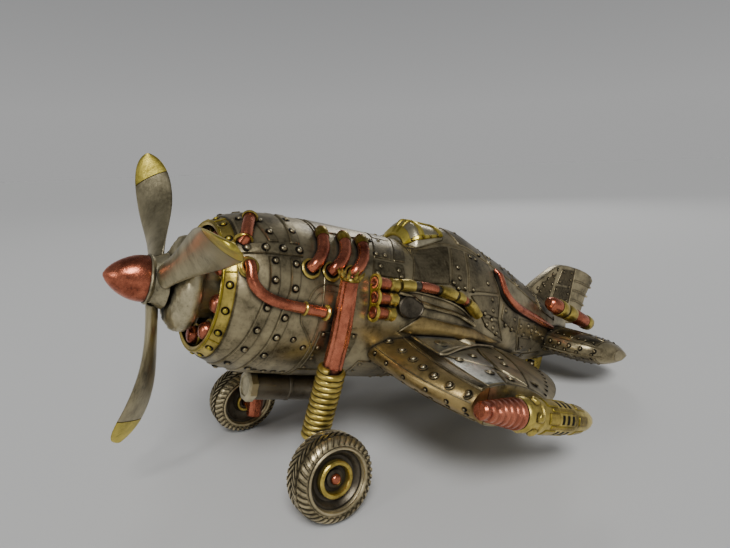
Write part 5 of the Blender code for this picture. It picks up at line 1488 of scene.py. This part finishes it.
def build_stage():
    bpy.ops.mesh.primitive_plane_add(size=40.0, location=(0.0, 0.0, 0.0))
    floor = bpy.context.object
    floor.name = "floor"
    material = bpy.data.materials.new("floor")
    material.use_nodes = True
    shader = material.node_tree.nodes["Principled BSDF"]
    shader.inputs["Base Color"].default_value = (0.60, 0.60, 0.59, 1.0)
    shader.inputs["Roughness"].default_value = 0.9
    floor.data.materials.append(material)

    world = bpy.data.worlds.new("studio")
    bpy.context.scene.world = world
    world.use_nodes = True
    tree = world.node_tree
    coords = tree.nodes.new("ShaderNodeTexCoord")
    split = tree.nodes.new("ShaderNodeSeparateXYZ")
    tree.links.new(coords.outputs["Generated"], split.inputs[0])
    shade = link_ramp(tree, split.outputs["Z"], 0.10, 0.65, grey(0.40), (0.10, 0.104, 0.112, 1.0))
    background = tree.nodes["Background"]
    tree.links.new(shade, background.inputs["Color"])
    background.inputs["Strength"].default_value = 1.0
    sun = bpy.data.lights.new("sun", "SUN")
    sun.energy = 2.2
    sun.angle = math.radians(25.0)
    lamps = [(sun, (-0.5, -0.9, 1.2))]
    for name, place, size, power in (("key", (-0.40, -0.75, 0.80), 0.22, 1.6),
                                     ("front", (-0.95, -0.15, 0.40), 0.20, 1.0),
                                     ("back", (0.75, 0.65, 0.60), 0.25, 1.6)):
        data = bpy.data.lights.new(name, "AREA")
        data.size = size
        data.energy = power
        lamps.append((data, place))
    for data, place in lamps:
        lamp = bpy.data.objects.new(data.name, data)
        bpy.context.scene.collection.objects.link(lamp)
        lamp.location = place
        lamp.rotation_euler = (Vector((0.0, 0.0, 0.05)) - Vector(place)).to_track_quat("-Z", "Y").to_euler()


CAMERA_ANGLES = (-33.857, 11.441, 1.956)                    # yaw, downward pitch and roll, in degrees
CAMERA_FROM_HUB = Vector((-0.03126, -0.14709, 0.028))       # metres


def build_camera():
    yaw, pitch, roll = (math.radians(degrees) for degrees in CAMERA_ANGLES)
    ahead = Vector((-math.sin(yaw) * math.cos(pitch), math.cos(yaw) * math.cos(pitch), -math.sin(pitch)))
    right = Vector((math.cos(yaw), math.sin(yaw), 0.0))
    down = ahead.cross(right)
    rolled_right = right * math.cos(roll) + down * math.sin(roll)
    rolled_down = down * math.cos(roll) - right * math.sin(roll)
    data = bpy.data.cameras.new("camera")
    data.sensor_width = 36.0
    data.lens = 26.087
    data.clip_start = 0.01
    camera = bpy.data.objects.new("camera", data)
    bpy.context.scene.collection.objects.link(camera)
    matrix = Matrix((rolled_right, -rolled_down, -ahead)).transposed().to_4x4()
    matrix.translation = Vector(JOINTS["propeller_spin"]["pos_m"]) + CAMERA_FROM_HUB
    camera.matrix_world = matrix
    bpy.context.scene.camera = camera


build_camera()
build_stage()
make_materials()
build_propeller()
build_engine()
build_cowling()
build_fuselage()
build_canopy()
build_wings()
build_tailplanes()
build_fin()
build_wing_pods()
build_tail_pods()
build_stubs()
build_side_pipes()
build_manifold()
build_root_fairing()
build_belly_tube()
build_legs()
build_wheels()
build_tail_gear()
